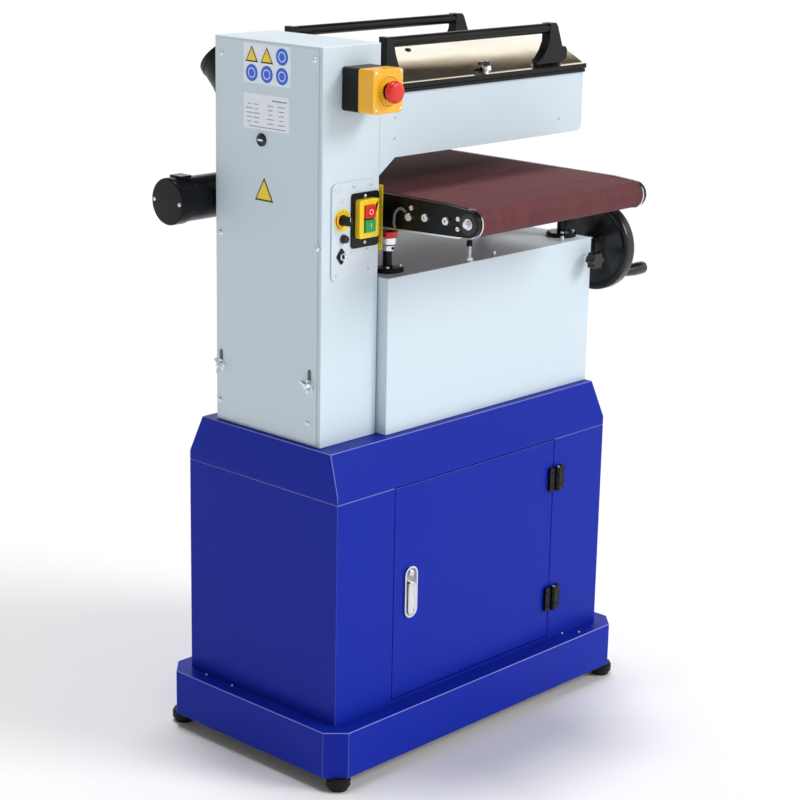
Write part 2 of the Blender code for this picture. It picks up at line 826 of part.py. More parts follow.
def pressure_roller(name, y, pivot):
    left, right = ARM_X[0] + ARM_SHEET + GAP, ARM_X[1] - ARM_SHEET - GAP
    r, j = PRESSURE_RADIUS, PRESSURE_JOURNAL
    profile = [
        (left, 0.0),
        (left, j),
        (DRUM_X[0], j),
        (DRUM_X[0], r),
        (DRUM_X[1], r),
        (DRUM_X[1], j),
        (right, j),
        (right, 0.0),
    ]
    at = (DRUM_X[0], y, PRESSURE_Z)
    turned(name, profile, "X", (y, PRESSURE_Z), SMALL_ROUND, "rubber", pivot, at=at)


# --- hood --------------------------------------------------------------------------------------
def hood_arc(start, offset):
    """Points from one lower edge up to the apex, on the arc that is level at the apex."""
    run, rise = start[0] - HOOD_APEX[0], HOOD_APEX[1] - start[1]
    radius = (run * run + rise * rise) / (2 * rise)
    centre = (HOOD_APEX[0], HOOD_APEX[1] - radius)
    turn = math.degrees(math.asin(run / radius))
    return arc(centre, radius + offset, 90 - turn, 90, 7)


def hood_outline(offset, bottom):
    """The hood's cross-section, grown outwards by offset, down to a level."""
    front, rear = HOOD_Y[0] - offset, HOOD_Y[1] + offset
    rise = hood_arc((HOOD_Y[0] + 0.004, HOOD_Z[1]), offset)
    fall = hood_arc((HOOD_Y[1] - 0.004, HOOD_Z[1]), offset)
    shoulder = HOOD_Z[1] + offset
    return [
        (front, bottom),
        (front, shoulder - 0.001),
        *rise,
        *reversed(fall[:-1]),
        (rear, shoulder - 0.001),
        (rear, bottom),
    ]


def drum_hood(hood):
    at = (HOOD_X[0], *HOOD_HINGE)
    shell = prism(
        "drum_hood", hood_outline(0.0, HOOD_Z[0]), "X", *HOOD_X, "polished_steel", hood, at=at
    )
    inner = hood_outline(-HOOD_SHEET, HOOD_Z[0] - HOOD_SHEET)
    hollow_x = (HOOD_X[0] + HOOD_SHEET, HOOD_X[1] - HOOD_SHEET)
    cut(shell, prism("hood_hollow", inner, "X", *hollow_x, "polished_steel", hood))


def hood_clearance(name, hood):
    """A cutter that keeps a piece standing on the hood clear of its skin."""
    outline = hood_outline(GAP, HOOD_Z[0] - 0.02)
    return prism(name, outline, "X", HOOD_X[0] - 0.02, HOOD_X[1] + 0.02, "polished_steel", hood)


def bracket_outlines():
    """The left and right end brackets, seen from the front, each rising to the bar."""
    left, right = HANDLE_X
    top = HANDLE_Z + HANDLE_RADIUS
    low = HOOD_Z[1] - 0.004
    near = [
        (left - 0.006, low),
        (left + 0.034, low),
        (left + 0.016, top - 0.030),
        (left + 0.007, top),
        (left - 0.006, top),
    ]
    far = [
        (right - 0.052, low),
        (right + 0.032, low),
        (right + 0.046, low + 0.012),
        (right + 0.044, low + 0.026),
        (right + 0.027, low + 0.030),
        (right + 0.010, top - 0.006),
        (right + 0.004, top),
        (right - 0.017, top),
        (right - 0.016, low + 0.034),
        (right - 0.032, low + 0.016),
    ]
    return near, far


def hood_handle(side, hood):
    y = HANDLE_Y[side]
    name = f"{side}_handle"
    at = (HANDLE_X[0], y, HANDLE_Z)
    bar = rod(name, "X", (y, HANDLE_Z), HANDLE_RADIUS, *HANDLE_X, SMALL_ROUND, "black_paint", hood,
              at=at)
    half = BRACKET_WIDTH / 2
    brackets = [
        prism(f"{name}_bracket_{i}", line, "Y", y - half, y + half, "black_paint", hood)
        for i, line in enumerate(bracket_outlines())
    ]
    weld(bar, *brackets)
    cut(bar, hood_clearance(f"{name}_clearance", hood))


def hood_latch(latch):
    x, y = LATCH_AT
    at = (x, y, LATCH_Z)
    wing = round_rectangle((x - 0.020, y - 0.006), (x + 0.006, y + 0.006), 0.005, 3)
    piece = prism("hood_latch", wing, "Z", LATCH_Z, LATCH_Z + 0.006, "black_plastic", latch, at=at)
    post = rod("latch_post", "Z", (x, y), 0.006, LATCH_FOOT_Z, LATCH_Z + 0.003, SMALL_ROUND,
               "black_plastic", latch)
    weld(piece, post)


# --- conveyor ----------------------------------------------------------------------------------
def conveyor_belt(table):
    outer = conveyor_outline(CONVEYOR_RADIUS)
    inner = conveyor_outline(CONVEYOR_RADIUS - CONVEYOR_BELT)
    tube("conveyor_belt", outer, inner, "X", *CONVEYOR_X, "abrasive", table)


def conveyor_roller(name, axis, r, pivot):
    j = ROLLER_JOURNAL
    start, end = CONVEYOR_X[0] + 0.0005, CONVEYOR_X[1] - 0.0005
    reach = SIDE_CLEAR + SIDE_PLATE
    profile = [
        (CONVEYOR_X[0] - reach, 0.0),
        (CONVEYOR_X[0] - reach, j),
        (start, j),
        (start, r),
        (end, r),
        (end, j),
        (CONVEYOR_X[1] + reach, j),
        (CONVEYOR_X[1] + reach, 0.0),
    ]
    turned(name, profile, "X", axis, ROUND, "machined_steel", pivot, at=(start, *axis))


def side_plate(name, start, table):
    loop = conveyor_outline(SIDE_RADIUS, 8)
    low = ROLLER_Z - SIDE_RADIUS
    lug = [
        (LUG_Y[0], low),
        (LUG_Y[0], LUG_BOTTOM),
        (LUG_Y[1], LUG_BOTTOM),
        (LUG_Y[1], low),
    ]
    reach = (start - SIDE_PLATE, start + 2 * SIDE_PLATE)
    plate = prism(name, loop + lug, "X", start, start + SIDE_PLATE, "black_paint", table)
    bore = ROLLER_JOURNAL + ROLLER_CLEAR
    holes = [
        rod(f"{name}_bore_{i}", "X", axis, bore, *reach, ROUND, "black_paint", table)
        for i, axis in enumerate((FRONT_ROLLER, (REAR_ROLLER_Y, ROLLER_Z)))
    ]
    cut(plate, *holes)


def bed_plate(table):
    low = (CONVEYOR_X[0] - SIDE_CLEAR + GAP, BED_Y[0], BED_Z[0])
    high = (CONVEYOR_X[1] + SIDE_CLEAR - GAP, BED_Y[1], BED_Z[1])
    box("bed_plate", low, high, "machined_steel", table)


def table_frame(table):
    low, high = FRAME_Z
    frame = box(
        "table_frame",
        (FRAME_X[0], -FRAME_HALF_Y, low),
        (FRAME_X[1], FRAME_HALF_Y, high),
        "black_paint",
        table,
    )
    windows = [
        box(
            f"frame_window_{i}",
            (start, -FRAME_WINDOW_HALF, low - GAP),
            (end, FRAME_WINDOW_HALF, high + GAP),
            "black_paint",
            table,
        )
        for i, (start, end) in enumerate(FRAME_WINDOWS_X)
    ]
    cut(frame, *windows)


def gear_motor(table):
    axis = (REAR_ROLLER_Y, ROLLER_Z)
    start, end = GEAR_MOTOR_X
    r = GEAR_MOTOR_RADIUS
    profile = [
        (start, 0.0),
        (start, r - 0.003),
        (start + 0.003, r),
        (start + 0.020, r),
        (start + 0.021, r - 0.002),
        (end, r - 0.002),
        (end, 0.0),
    ]
    motor = turned("gear_motor", profile, "X", axis, ROUND, "black_paint", table)
    half_y, half_z = GEARBOX_HALF
    outline = round_rectangle(
        (axis[0] - half_y, axis[1] - half_z), (axis[0] + half_y, axis[1] + half_z), 0.010, 3
    )
    gearbox_end = CONVEYOR_X[0] - SIDE_CLEAR - SIDE_PLATE - GAP
    gearbox = prism("gearbox", outline, "X", end - 0.004, gearbox_end, "black_paint", table)
    weld(motor, gearbox, box("gear_motor_terminals", *TERMINAL_BOX, "black_paint", table))


# --- lift --------------------------------------------------------------------------------------
def lift_screw(name, place, table):
    low, high = POST_Z
    r, c = POST_RADIUS, COLLAR_RADIUS
    profile = [
        (low, 0.0),
        (low, r),
        (COLLAR_Z[0], r),
        (COLLAR_Z[0], c),
        (COLLAR_Z[1], c),
        (COLLAR_Z[1], r),
        (high, r),
        (high, 0.0),
    ]
    turned(f"lift_screw_{name}", profile, "Z", place, SMALL_ROUND, "black_paint", table)


def lift_nut(name, place, pivot):
    low, high = NUT_Z
    start, end = SPROCKET_Z
    profile = [
        (low, NUT_BORE),
        (low, NUT_RADIUS),
        (start, NUT_RADIUS),
        (start, SPROCKET_RADIUS),
        (end, SPROCKET_RADIUS),
        (end, NUT_RADIUS),
        (high, NUT_RADIUS),
        (high, NUT_BORE),
    ]
    at = (*place, low)
    turned(f"lift_nut_{name}", profile, "Z", place, SMALL_ROUND, "machined_steel", pivot, at=at)


def lift_chain(base):
    """The chain that turns the four nuts together, as one taut loop round their sprockets."""
    x = (POST_X["left"], POST_X["right"])
    y = (POST_Y["front"], POST_Y["rear"])
    loops = []
    for reach in (SPROCKET_RADIUS + BELT_CLEAR + CHAIN_THICK, SPROCKET_RADIUS + BELT_CLEAR):
        low, high = (x[0] - reach, y[0] - reach), (x[1] + reach, y[1] + reach)
        loops.append(round_rectangle(low, high, reach, 6))
    tube("lift_chain", *loops, "Z", *CHAIN_Z, "machined_steel", base)


def depth_pointer(table):
    """A ring round the front left screw, with a tip that reads on the column's scale."""
    place = (POST_X["left"], POST_Y["front"])
    profile = bore_profile(*POINTER_Z, POINTER_RADIUS, POST_RADIUS + GAP)
    ring = turned("depth_pointer", profile, "Z", place, SMALL_ROUND, "red_plastic", table)
    middle = sum(POINTER_Z) / 2
    tip = [
        (place[0] - 0.012, place[1] - 0.006),
        (place[0] - 0.031, place[1] - 0.016),
        (place[0] - 0.012, place[1] + 0.004),
    ]
    weld(ring, prism("pointer_tip", tip, "Z", middle - 0.001, middle + 0.001, "red_plastic", table))


def handwheel(wheel, grip):
    at = (WHEEL_X, *LIFT_SHAFT_YZ)
    x, r = WHEEL_X, WHEEL_RADIUS
    profile = [
        (x, 0.0),
        (x, 0.017),
        (x + 0.013, 0.018),
        (x + 0.018, 0.030),
        (x + 0.026, r - 0.014),
        (x + 0.022, r - 0.008),
        (x + 0.023, r - 0.001),
        (x + 0.029, r),
        (x + 0.041, r),
        (x + 0.046, r - 0.003),
        (x + 0.045, r - 0.008),
        (x + 0.034, r - 0.013),
        (x + 0.026, 0.032),
        (x + 0.036, 0.020),
        (x + 0.040, 0.014),
        (x + 0.040, 0.0),
    ]
    disc = turned("handwheel", profile, "X", LIFT_SHAFT_YZ, 40, "black_plastic", wheel, at=at)
    pin = rod("grip_pin", "X", GRIP_YZ, GRIP_PIN, x + 0.030, GRIP_X[1] - 0.018, SMALL_ROUND,
              "machined_steel", wheel)
    weld(disc, pin)
    start, end = GRIP_X
    g, bore = GRIP_RADIUS, GRIP_PIN + ROLLER_CLEAR
    handle = [
        (end - 0.016, 0.0),
        (end - 0.016, bore),
        (start, bore),
        (start, g * 0.72),
        (start + 0.006, g * 0.80),
        (start + 0.040, g),
        (end - 0.010, g),
        (end - 0.003, g * 0.82),
        (end, g * 0.45),
        (end, 0.0),
    ]
    turned("crank_grip", handle, "X", GRIP_YZ, SMALL_ROUND, "black_plastic", grip,
           at=(start, *GRIP_YZ))


def lift_shaft(wheel):
    start, end = LIFT_SHAFT_X
    r = LIFT_SHAFT_RADIUS
    profile = [
        (start, 0.0),
        (start, r),
        (LIFT_GEAR_X[0], r),
        (LIFT_GEAR_X[0], LIFT_GEAR_RADIUS),
        (LIFT_GEAR_X[1], LIFT_GEAR_RADIUS),
        (LIFT_GEAR_X[1], r),
        (end, r),
        (end, 0.0),
    ]
    at = (start, *LIFT_SHAFT_YZ)
    turned("lift_shaft", profile, "X", LIFT_SHAFT_YZ, SMALL_ROUND, "machined_steel", wheel, at=at)


def lock_knob(lock):
    face = -BOX_HALF_Y - GAP
    tip = face - LOCK_LENGTH
    x, z = LOCK_XZ
    lobes = 6
    steps = lobes * 4
    star = []
    for i in range(steps):
        turn = 2 * math.pi * i / steps
        reach = 0.0145 + 0.0022 * math.cos(lobes * turn)
        star.append((x + reach * math.cos(turn), z + reach * math.sin(turn)))
    head = prism("lock_knob", star, "Y", tip, tip + 0.018, "black_plastic", lock, at=(x, face, z))
    stud = rod("lock_stud", "Y", LOCK_XZ, 0.004, tip + 0.010, face, SMALL_ROUND, "black_plastic",
               lock)
    neck = rod("lock_neck", "Y", LOCK_XZ, 0.008, tip + 0.012, tip + 0.024, SMALL_ROUND,
               "black_plastic", lock)
    weld(head, neck, stud)


# --- controls ----------------------------------------------------------------------------------
def emergency_stop(base, button):
    back = COLUMN_Y[0] - GAP
    seam = back - ESTOP_BASE_DEPTH
    front = back - ESTOP_DEPTH
    middle = (sum(ESTOP_X) / 2, sum(ESTOP_Z) / 2)
    low, high = (ESTOP_X[0], ESTOP_Z[0]), (ESTOP_X[1], ESTOP_Z[1])
    outline = round_rectangle(low, high, 0.005, 3)
    prism("estop_base", outline, "Y", seam + GAP, back, "black_plastic", base)
    housing = prism("estop_housing", outline, "Y", front, seam, "yellow_plastic", base)
    well = rod("estop_well", "Y", middle, 0.0100, front - GAP, front + 0.016, SMALL_ROUND,
               "yellow_plastic", base)
    cut(housing, well)
    r = ESTOP_BUTTON_RADIUS
    profile = [
        (front + 0.008, 0.0),
        (front + 0.008, 0.0092),
        (front - 0.010, 0.0092),
        (front - 0.011, r * 0.92),
        (front - 0.014, r),
        (front - 0.019, r * 0.96),
        (front - 0.025, r * 0.62),
        (front - 0.027, 0.0),
    ]
    turned("estop_button", profile, "Y", middle, ROUND, "red_plastic", button,
           at=(middle[0], front, middle[1]))


def control_panel(base):
    outline = round_rectangle((PANEL_X[0], PANEL_Z[0]), (PANEL_X[1], PANEL_Z[1]), 0.010)
    back = COLUMN_Y[0] - GAP
    prism("control_panel", outline, "Y", back - PANEL_SHEET, back, "silver_panel", base)


def control_front():
    """The front of the control panel, less a gap: what the controls stand on."""
    return COLUMN_Y[0] - 2 * GAP - PANEL_SHEET


def motor_switch(base, buttons):
    back = control_front()
    front = back - SWITCH_DEPTH
    outline = round_rectangle((SWITCH_X[0], SWITCH_Z[0]), (SWITCH_X[1], SWITCH_Z[1]), 0.004, 3)
    housing = prism("switch_housing", outline, "Y", front, back, "yellow_plastic", base)
    half_x, half_z = SWITCH_BUTTON_HALF
    for name, z in SWITCH_BUTTONS_Z.items():
        x = SWITCH_BUTTON_X
        clear = ROLLER_CLEAR
        well = box(
            f"{name}_well",
            (x - half_x - clear, front - clear, z - half_z - clear),
            (x + half_x + clear, front + SWITCH_WELL, z + half_z + clear),
            "yellow_plastic",
            base,
        )
        cut(housing, well)
        box(
            name,
            (x - half_x, front - 0.0045, z - half_z),
            (x + half_x, front + SWITCH_WELL - SWITCH_TRAVEL - 2 * clear, z + half_z),
            "red_plastic" if name == "stop_button" else "green_plastic",
            buttons[name],
            at=(x, front, z),
        )


def speed_knob(knob):
    back = control_front()
    end = back - SPEED_LENGTH
    r = SPEED_RADIUS
    profile = [
        (back, 0.0),
        (back, r * 1.15),
        (back - 0.004, r * 1.15),
        (back - 0.005, r),
        (end + 0.002, r * 0.86),
        (end, r * 0.72),
        (end, 0.0),
    ]
    turned("speed_knob", profile, "Y", SPEED_XZ, SMALL_ROUND, "black_plastic", knob,
           at=(SPEED_XZ[0], back, SPEED_XZ[1]))


# --- the whole machine -------------------------------------------------------------------------
def build_base(base):
    base_plinth(base)
    for side_y, y in (("front", -FOOT_AT[1]), ("rear", FOOT_AT[1])):
        for side_x, x in (("left", -FOOT_AT[0]), ("right", FOOT_AT[0])):
            levelling_foot(f"foot_{side_y}_{side_x}", x, y, base)
    cabinet_shell(base)
    cabinet_cap(base)
    front = -CABINET_HALF[1]
    door = empty("door_axis", (*HINGE_PIN, DOOR_Z[0]), base)
    lever_at = (sum(LEVER_X) / 2, front - GAP, LEVER_Z[0])
    cabinet_door(door, empty("door_handle_axis", lever_at, door))
    column_shell(base)
    column_side_cover(base)
    lower_box(base)


def build_head(base):
    arm_housing(base)
    dust_port(base)
    drum = empty("drum_axis", (DRUM_X[0], *DRUM_AXIS), base)
    sanding_drum(drum)
    drum_bearing("drum_bearing_left", ARM_X[0] + ARM_SHEET + GAP, base)
    drum_bearing("drum_bearing_right", ARM_X[1] - ARM_SHEET - GAP - BEARING_WIDTH, base)
    main_motor(base)
    motor_pulley(empty("motor_axis", (PULLEY_X[0], *MOTOR_AXIS), base))
    drive_belt(base)
    for side, y in PRESSURE_Y.items():
        name = f"{side}_pressure_roller"
        pressure_roller(name, y, empty(f"{name}_axis", (DRUM_X[0], y, PRESSURE_Z), base))
    hood = empty("hood_axis", (HOOD_X[0], *HOOD_HINGE), base)
    drum_hood(hood)
    for side in HANDLE_Y:
        hood_handle(side, hood)
    hood_latch(empty("hood_latch_axis", (*LATCH_AT, LATCH_Z), hood))


def build_table(base):
    table = empty("table_lift", (0.0, 0.0, FRAME_Z[0]), base)
    conveyor_belt(table)
    for name, axis, radius in (
        ("idler_roller", FRONT_ROLLER, FRONT_ROLLER_RADIUS),
        ("drive_roller", (REAR_ROLLER_Y, ROLLER_Z), ROLLER_RADIUS),
    ):
        pivot = empty(f"{name}_axis", (CONVEYOR_X[0] + 0.0005, *axis), table)
        conveyor_roller(name, axis, radius, pivot)
    side_plate("side_plate_left", CONVEYOR_X[0] - SIDE_CLEAR - SIDE_PLATE, table)
    side_plate("side_plate_right", CONVEYOR_X[1] + SIDE_CLEAR, table)
    bed_plate(table)
    table_frame(table)
    gear_motor(table)
    depth_pointer(table)
    for name, place in post_places():
        lift_screw(name, place, table)
        lift_nut(name, place, empty(f"lift_nut_{name}_axis", (*place, NUT_Z[0]), base))
    lift_chain(base)
    wheel = empty("handwheel_axis", (WHEEL_X, *LIFT_SHAFT_YZ), base)
    handwheel(wheel, empty("crank_grip_axis", (GRIP_X[0], *GRIP_YZ), wheel))
    lift_shaft(wheel)
    lock_knob(empty("lock_knob_axis", (LOCK_XZ[0], -BOX_HALF_Y, LOCK_XZ[1]), base))


def build_controls(base):
    front = COLUMN_Y[0] - GAP - ESTOP_DEPTH
    middle = (sum(ESTOP_X) / 2, front, sum(ESTOP_Z) / 2)
    emergency_stop(base, empty("estop_axis", middle, base))
    control_panel(base)
    face = control_front() - SWITCH_DEPTH
    buttons = {
        name: empty(f"{name}_axis", (SWITCH_BUTTON_X, face, z), base)
        for name, z in SWITCH_BUTTONS_Z.items()
    }
    motor_switch(base, buttons)
    speed_knob(empty("speed_knob_axis", (SPEED_XZ[0], control_front(), SPEED_XZ[1]), base))


def main():
    clear_scene()
    machine = empty("drum_sander", CENTRE)
    machine.location = (0.0, 0.0, 0.0)
    base = empty("machine_base", (0.0, 0.0, 0.0), machine)
    build_base(base)
    build_head(base)
    build_table(base)
    build_controls(base)
    bpy.context.view_layer.update()


main()
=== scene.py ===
"""How the open-ended drum sander looks: finishes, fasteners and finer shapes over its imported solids.

Places are the machine's own dimensions: metres from the middle of the cabinet at floor level, with X
along the drum, -Y towards the operator and +Z up. add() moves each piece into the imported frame.
"""

import json
import math

import bmesh
import bpy
from mathutils import Matrix, Vector

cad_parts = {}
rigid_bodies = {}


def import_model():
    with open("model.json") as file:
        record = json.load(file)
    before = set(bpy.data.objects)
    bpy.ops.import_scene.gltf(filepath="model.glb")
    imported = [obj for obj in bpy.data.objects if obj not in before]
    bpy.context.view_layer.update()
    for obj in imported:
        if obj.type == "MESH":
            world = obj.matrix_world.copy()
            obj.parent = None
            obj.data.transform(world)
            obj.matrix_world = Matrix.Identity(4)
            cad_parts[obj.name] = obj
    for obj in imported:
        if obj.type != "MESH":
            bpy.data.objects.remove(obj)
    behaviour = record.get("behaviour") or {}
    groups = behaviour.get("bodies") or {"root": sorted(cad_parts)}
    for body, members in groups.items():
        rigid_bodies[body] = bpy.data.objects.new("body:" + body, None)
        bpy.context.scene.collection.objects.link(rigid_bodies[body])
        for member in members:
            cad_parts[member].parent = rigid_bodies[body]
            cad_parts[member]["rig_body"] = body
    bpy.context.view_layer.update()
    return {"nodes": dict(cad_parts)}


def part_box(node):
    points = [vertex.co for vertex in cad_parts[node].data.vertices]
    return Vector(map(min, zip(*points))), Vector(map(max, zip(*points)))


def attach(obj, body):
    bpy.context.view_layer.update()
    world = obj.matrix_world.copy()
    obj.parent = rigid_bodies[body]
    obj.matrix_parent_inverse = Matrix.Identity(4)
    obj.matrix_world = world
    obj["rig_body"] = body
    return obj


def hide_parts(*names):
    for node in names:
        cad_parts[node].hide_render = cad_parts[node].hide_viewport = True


FRONT = Vector((0, -1, 0))
BACK = Vector((0, 1, 0))
LEFT = Vector((-1, 0, 0))
RIGHT = Vector((1, 0, 0))
UP = Vector((0, 0, 1))

# --- the machine's surfaces that pieces are fixed to ---
CABINET_FRONT = -0.1875
COLUMN_LEFT = -0.3453
ARM_FRONT = -0.125
BOX_TOP = 0.873
PANEL_FRONT = -0.1278
DRUM_AXIS = (0.005, 1.136)
REAR_ROLLER = (0.178, 0.9865)
FRONT_ROLLER = (-0.3130, 0.9892)
NOSE_Y = -0.262
NOSE_TURN = 95
NOSE_SMALLER = 0.006
BELT_OUTSIDE = 0.0295
BELT_INSIDE = 0.0270
WHEEL_AXIS = (-0.120, 0.849)
POSTS = {
    "front_left": (-0.156, -0.098),
    "front_right": (0.321, -0.098),
    "rear_left": (-0.156, 0.098),
    "rear_right": (0.321, 0.098),
}
HOOD_X = (-0.2065, 0.336)
HOOD_APEX = (0.035, 1.2425)
HOOD_SHOULDER = 1.1995
HOOD_EDGES_Y = (-0.1255, 0.1345)
HOOD_LOW = 1.1903
HOOD_SHEET = 0.0025
ESTOP_MIDDLE = (-0.265, 1.201)
ESTOP_FACE = -0.1973
SWITCH_MIDDLE_X = -0.247
SPEED_XZ = (-0.2975, 0.983)
# How far past the nose's start, and below the flat top, the belt's bend runs.
BEND = ((0.012, 0.0), (0.006, 0.0001), (0.0, 0.0003), (-0.006, 0.0008), (-0.012, 0.0013))
# The bright lip under each side plate, seen from the side.
LIP = ((-0.292, 0.9652), (-0.104, 0.9573), (-0.104, 0.9547), (-0.292, 0.9626))
# How high each band of the sky starts, and its colour.
SKY = (
    (0.49, 1.00, 0.99, 0.97), (0.54, 0.42, 0.36, 0.29), (0.585, 0.03, 0.025, 0.02),
    (0.84, 0.12, 0.12, 0.12),
)


def linear(red, green, blue):
    """An sRGB colour, 0 to 255, as linear light."""
    channels = []
    for value in (red, green, blue):
        value /= 255
        channels.append(value / 12.92 if value <= 0.04045 else ((value + 0.055) / 1.055) ** 2.4)
    return (*channels, 1.0)


# --- finishes ---
def fill(socket, value):
    """Sets a socket, or links it when the value is another node's output."""
    if isinstance(value, bpy.types.NodeSocket):
        socket.id_data.links.new(value, socket)
    else:
        socket.default_value = value


def feed(node, **values):
    """Fills a node's sockets by name. An underscore stands for a space."""
    for name, value in values.items():
        fill(node.inputs[name.replace("_", " ")], value)
    return node


class Finish:
    """A procedural material, built up layer by layer."""

    def __init__(self, name, colour, roughness, metallic=0.0, coat=0.0, specular=0.5):
        self.material = bpy.data.materials.new(name)
        self.material.use_nodes = True
        self.material.diffuse_color = colour
        self.nodes = self.material.node_tree.nodes
        self.shader = feed(
            self.nodes["Principled BSDF"], Metallic=metallic, Roughness=roughness, Base_Color=colour,
            Coat_Weight=coat, Coat_Roughness=0.12, Specular_IOR_Level=specular,
        )
        self.colour = colour
        self.normal = None
        self.place = self.node("TexCoord").outputs["Object"]

    def node(self, kind, **values):
        return feed(self.nodes.new("ShaderNode" + kind), **values)

    def noise(self, scale, detail=3.0, roughness=0.5, stretch=None, distortion=0.0):
        place = self.place
        if stretch:
            place = self.node("Mapping", Scale=stretch, Vector=place).outputs["Vector"]
        return self.node(
            "TexNoise", Scale=scale, Detail=detail, Roughness=roughness, Distortion=distortion,
            Vector=place,
        ).outputs["Fac"]

    def cells(self, scale):
        return self.node("TexVoronoi", Scale=scale, Vector=self.place).outputs["Distance"]

    def edge_rub_and_highlight(self):
        """1 along the rounded edges that soften() made, for rubbed edges and painted edge highlight."""
        node = self.node("Attribute")
        node.attribute_name = "edge_rub_and_highlight"
        return node.outputs["Fac"]

    def upward(self):
        """How far the surface faces up, 0 to 1."""
        facing = self.node("NewGeometry").outputs["Normal"]
        return self.node("SeparateXYZ", Vector=facing).outputs["Z"]

    def between(self, source, low, high, start=0.0, end=1.0):
        return self.node(
            "MapRange", Value=source, From_Min=low, From_Max=high, To_Min=start, To_Max=end
        ).outputs["Result"]

    def times(self, first, second):
        node = self.node("Math")
        node.operation = "MULTIPLY"
        fill(node.inputs[0], first)
        fill(node.inputs[1], second)
        return node.outputs["Value"]

    def tint(self, mask, colour):
        """Blends towards a colour where the mask is high."""
        node = self.node("Mix")
        node.data_type = "RGBA"
        feed(node, Factor=mask, A=self.colour, B=colour)
        self.colour = node.outputs["Result"]
        feed(self.shader, Base_Color=self.colour)

    def gloss(self, source, low, high):
        """Roughness from low to high as the source goes from 0.3 to 0.7."""
        feed(self.shader, Roughness=self.between(source, 0.3, 0.7, low, high))

    def emboss(self, source, depth, strength=1.0):
        """Relief of about that depth, in metres."""
        node = self.node("Bump", Strength=strength, Distance=depth, Height=source)
        if self.normal is not None:
            feed(node, Normal=self.normal)
        self.normal = node.outputs["Normal"]
        feed(self.shader, Normal=self.normal)


def powder_coat(name, colour, rub_and_highlight, dusty, roughness, shine=0.3):
    finish = Finish(name, colour, roughness, specular=shine)
    smudge = finish.noise(5.0, 5.0, 0.6)
    peel = finish.noise(700.0, 2.0, 0.5)
    speck = finish.noise(420.0, 2.0, 0.7)
    finish.tint(finish.between(smudge, 0.35, 0.75, 0.0, 0.10), dusty)
    # Pale specks in the coat.
    finish.tint(finish.between(speck, 0.76, 0.80, 0.0, 0.55), rub_and_highlight)
    # Painted highlight, with some rubbed paint: the rounded edges turn towards the pale colour, most where
    # they face up, and patchily.
    edge = finish.times(finish.edge_rub_and_highlight(), finish.between(finish.upward(), 0.0, 0.4, 0.2, 1.0))
    finish.tint(finish.times(edge, finish.between(smudge, 0.3, 0.6, 0.5, 1.0)), rub_and_highlight)
    finish.gloss(smudge, roughness - 0.06, roughness + 0.08)
    finish.emboss(peel, 0.00006, 0.6)
    return finish.material


def moulded(name, colour, roughness, grain=0.00005, pale=None, shine=0.5):
    finish = Finish(name, colour, roughness, specular=shine)
    cloud = finish.noise(14.0, 4.0, 0.6)
    if pale:
        finish.tint(finish.between(cloud, 0.4, 0.8, 0.0, 0.25), pale)
        # Paler along the rounded edges: painted highlight and rubbed wear.
        finish.tint(finish.times(finish.edge_rub_and_highlight(), 0.35), pale)
    finish.gloss(cloud, roughness - 0.05, roughness + 0.09)
    finish.emboss(finish.noise(1500.0, 2.0), grain, 0.5)
    return finish.material


def metal(name, colour, roughness, dark):
    finish = Finish(name, colour, roughness, metallic=1.0)
    cloud = finish.noise(22.0, 5.0, 0.6)
    lines = finish.noise(600.0, 3.0, 0.6)
    finish.tint(finish.between(cloud, 0.45, 0.8, 0.0, 0.35), dark)
    finish.gloss(lines, roughness * 0.7, roughness * 1.5)
    finish.emboss(lines, 0.00002, 0.5)
    return finish.material


def polished_sheet():
    finish = Finish("polished_stainless", linear(244, 236, 218), 0.1, metallic=1.0)
    brown_streaks = finish.noise(7.0, 5.0, 0.65, (0.6, 1.6, 1.0), 0.8)
    rub = finish.noise(500.0, 2.0, 0.6, (0.06, 1.0, 1.0))
    # Darker warm-brown streaks in the sheet, rougher where they are.
    finish.tint(finish.between(brown_streaks, 0.5, 0.78, 0.0, 0.3), linear(150, 132, 108))
    finish.gloss(brown_streaks, 0.05, 0.17)
    finish.emboss(finish.noise(9.0, 2.0, 0.4, (0.5, 1.4, 1.0)), 0.0016, 0.5)
    finish.emboss(rub, 0.00001, 0.4)
    return finish.material


def abrasive(name, colour, pale, dark, lines="Y"):
    """Cloth-backed grit: sharp little grains over soft colour bands along the way it runs."""
    finish = Finish(name, colour, 0.78, specular=0.35)
    along = (9.0, 0.35, 1.0) if lines == "Y" else (1.0, 6.0, 6.0)
    streak = finish.noise(6.0, 5.0, 0.65, along)
    cloud = finish.noise(4.0, 4.0, 0.6)
    grit = finish.noise(1500.0, 3.0, 0.75)
    sparkle = finish.cells(1300.0)
    finish.tint(finish.between(streak, 0.42, 0.75, 0.0, 0.32), pale)
    finish.tint(finish.between(cloud, 0.48, 0.75, 0.0, 0.40), dark)
    finish.tint(finish.between(grit, 0.48, 0.70, 0.0, 0.45), dark)
    finish.tint(finish.between(sparkle, 0.16, 0.06, 0.0, 0.40), pale)
    # Paler along the rounded edges: painted highlight and rubbed wear.
    finish.tint(finish.times(finish.edge_rub_and_highlight(), 0.5), pale)
    finish.emboss(grit, 0.00022, 0.8)
    finish.emboss(sparkle, 0.00010, 0.5)
    return finish.material


def printed(name, colour):
    finish = Finish(name, colour, 0.4, coat=0.2)
    cloud = finish.noise(40.0, 3.0)
    finish.gloss(cloud, 0.32, 0.48)
    finish.tint(finish.between(cloud, 0.6, 0.9, 0.0, 0.06), linear(150, 150, 145))
    return finish.material


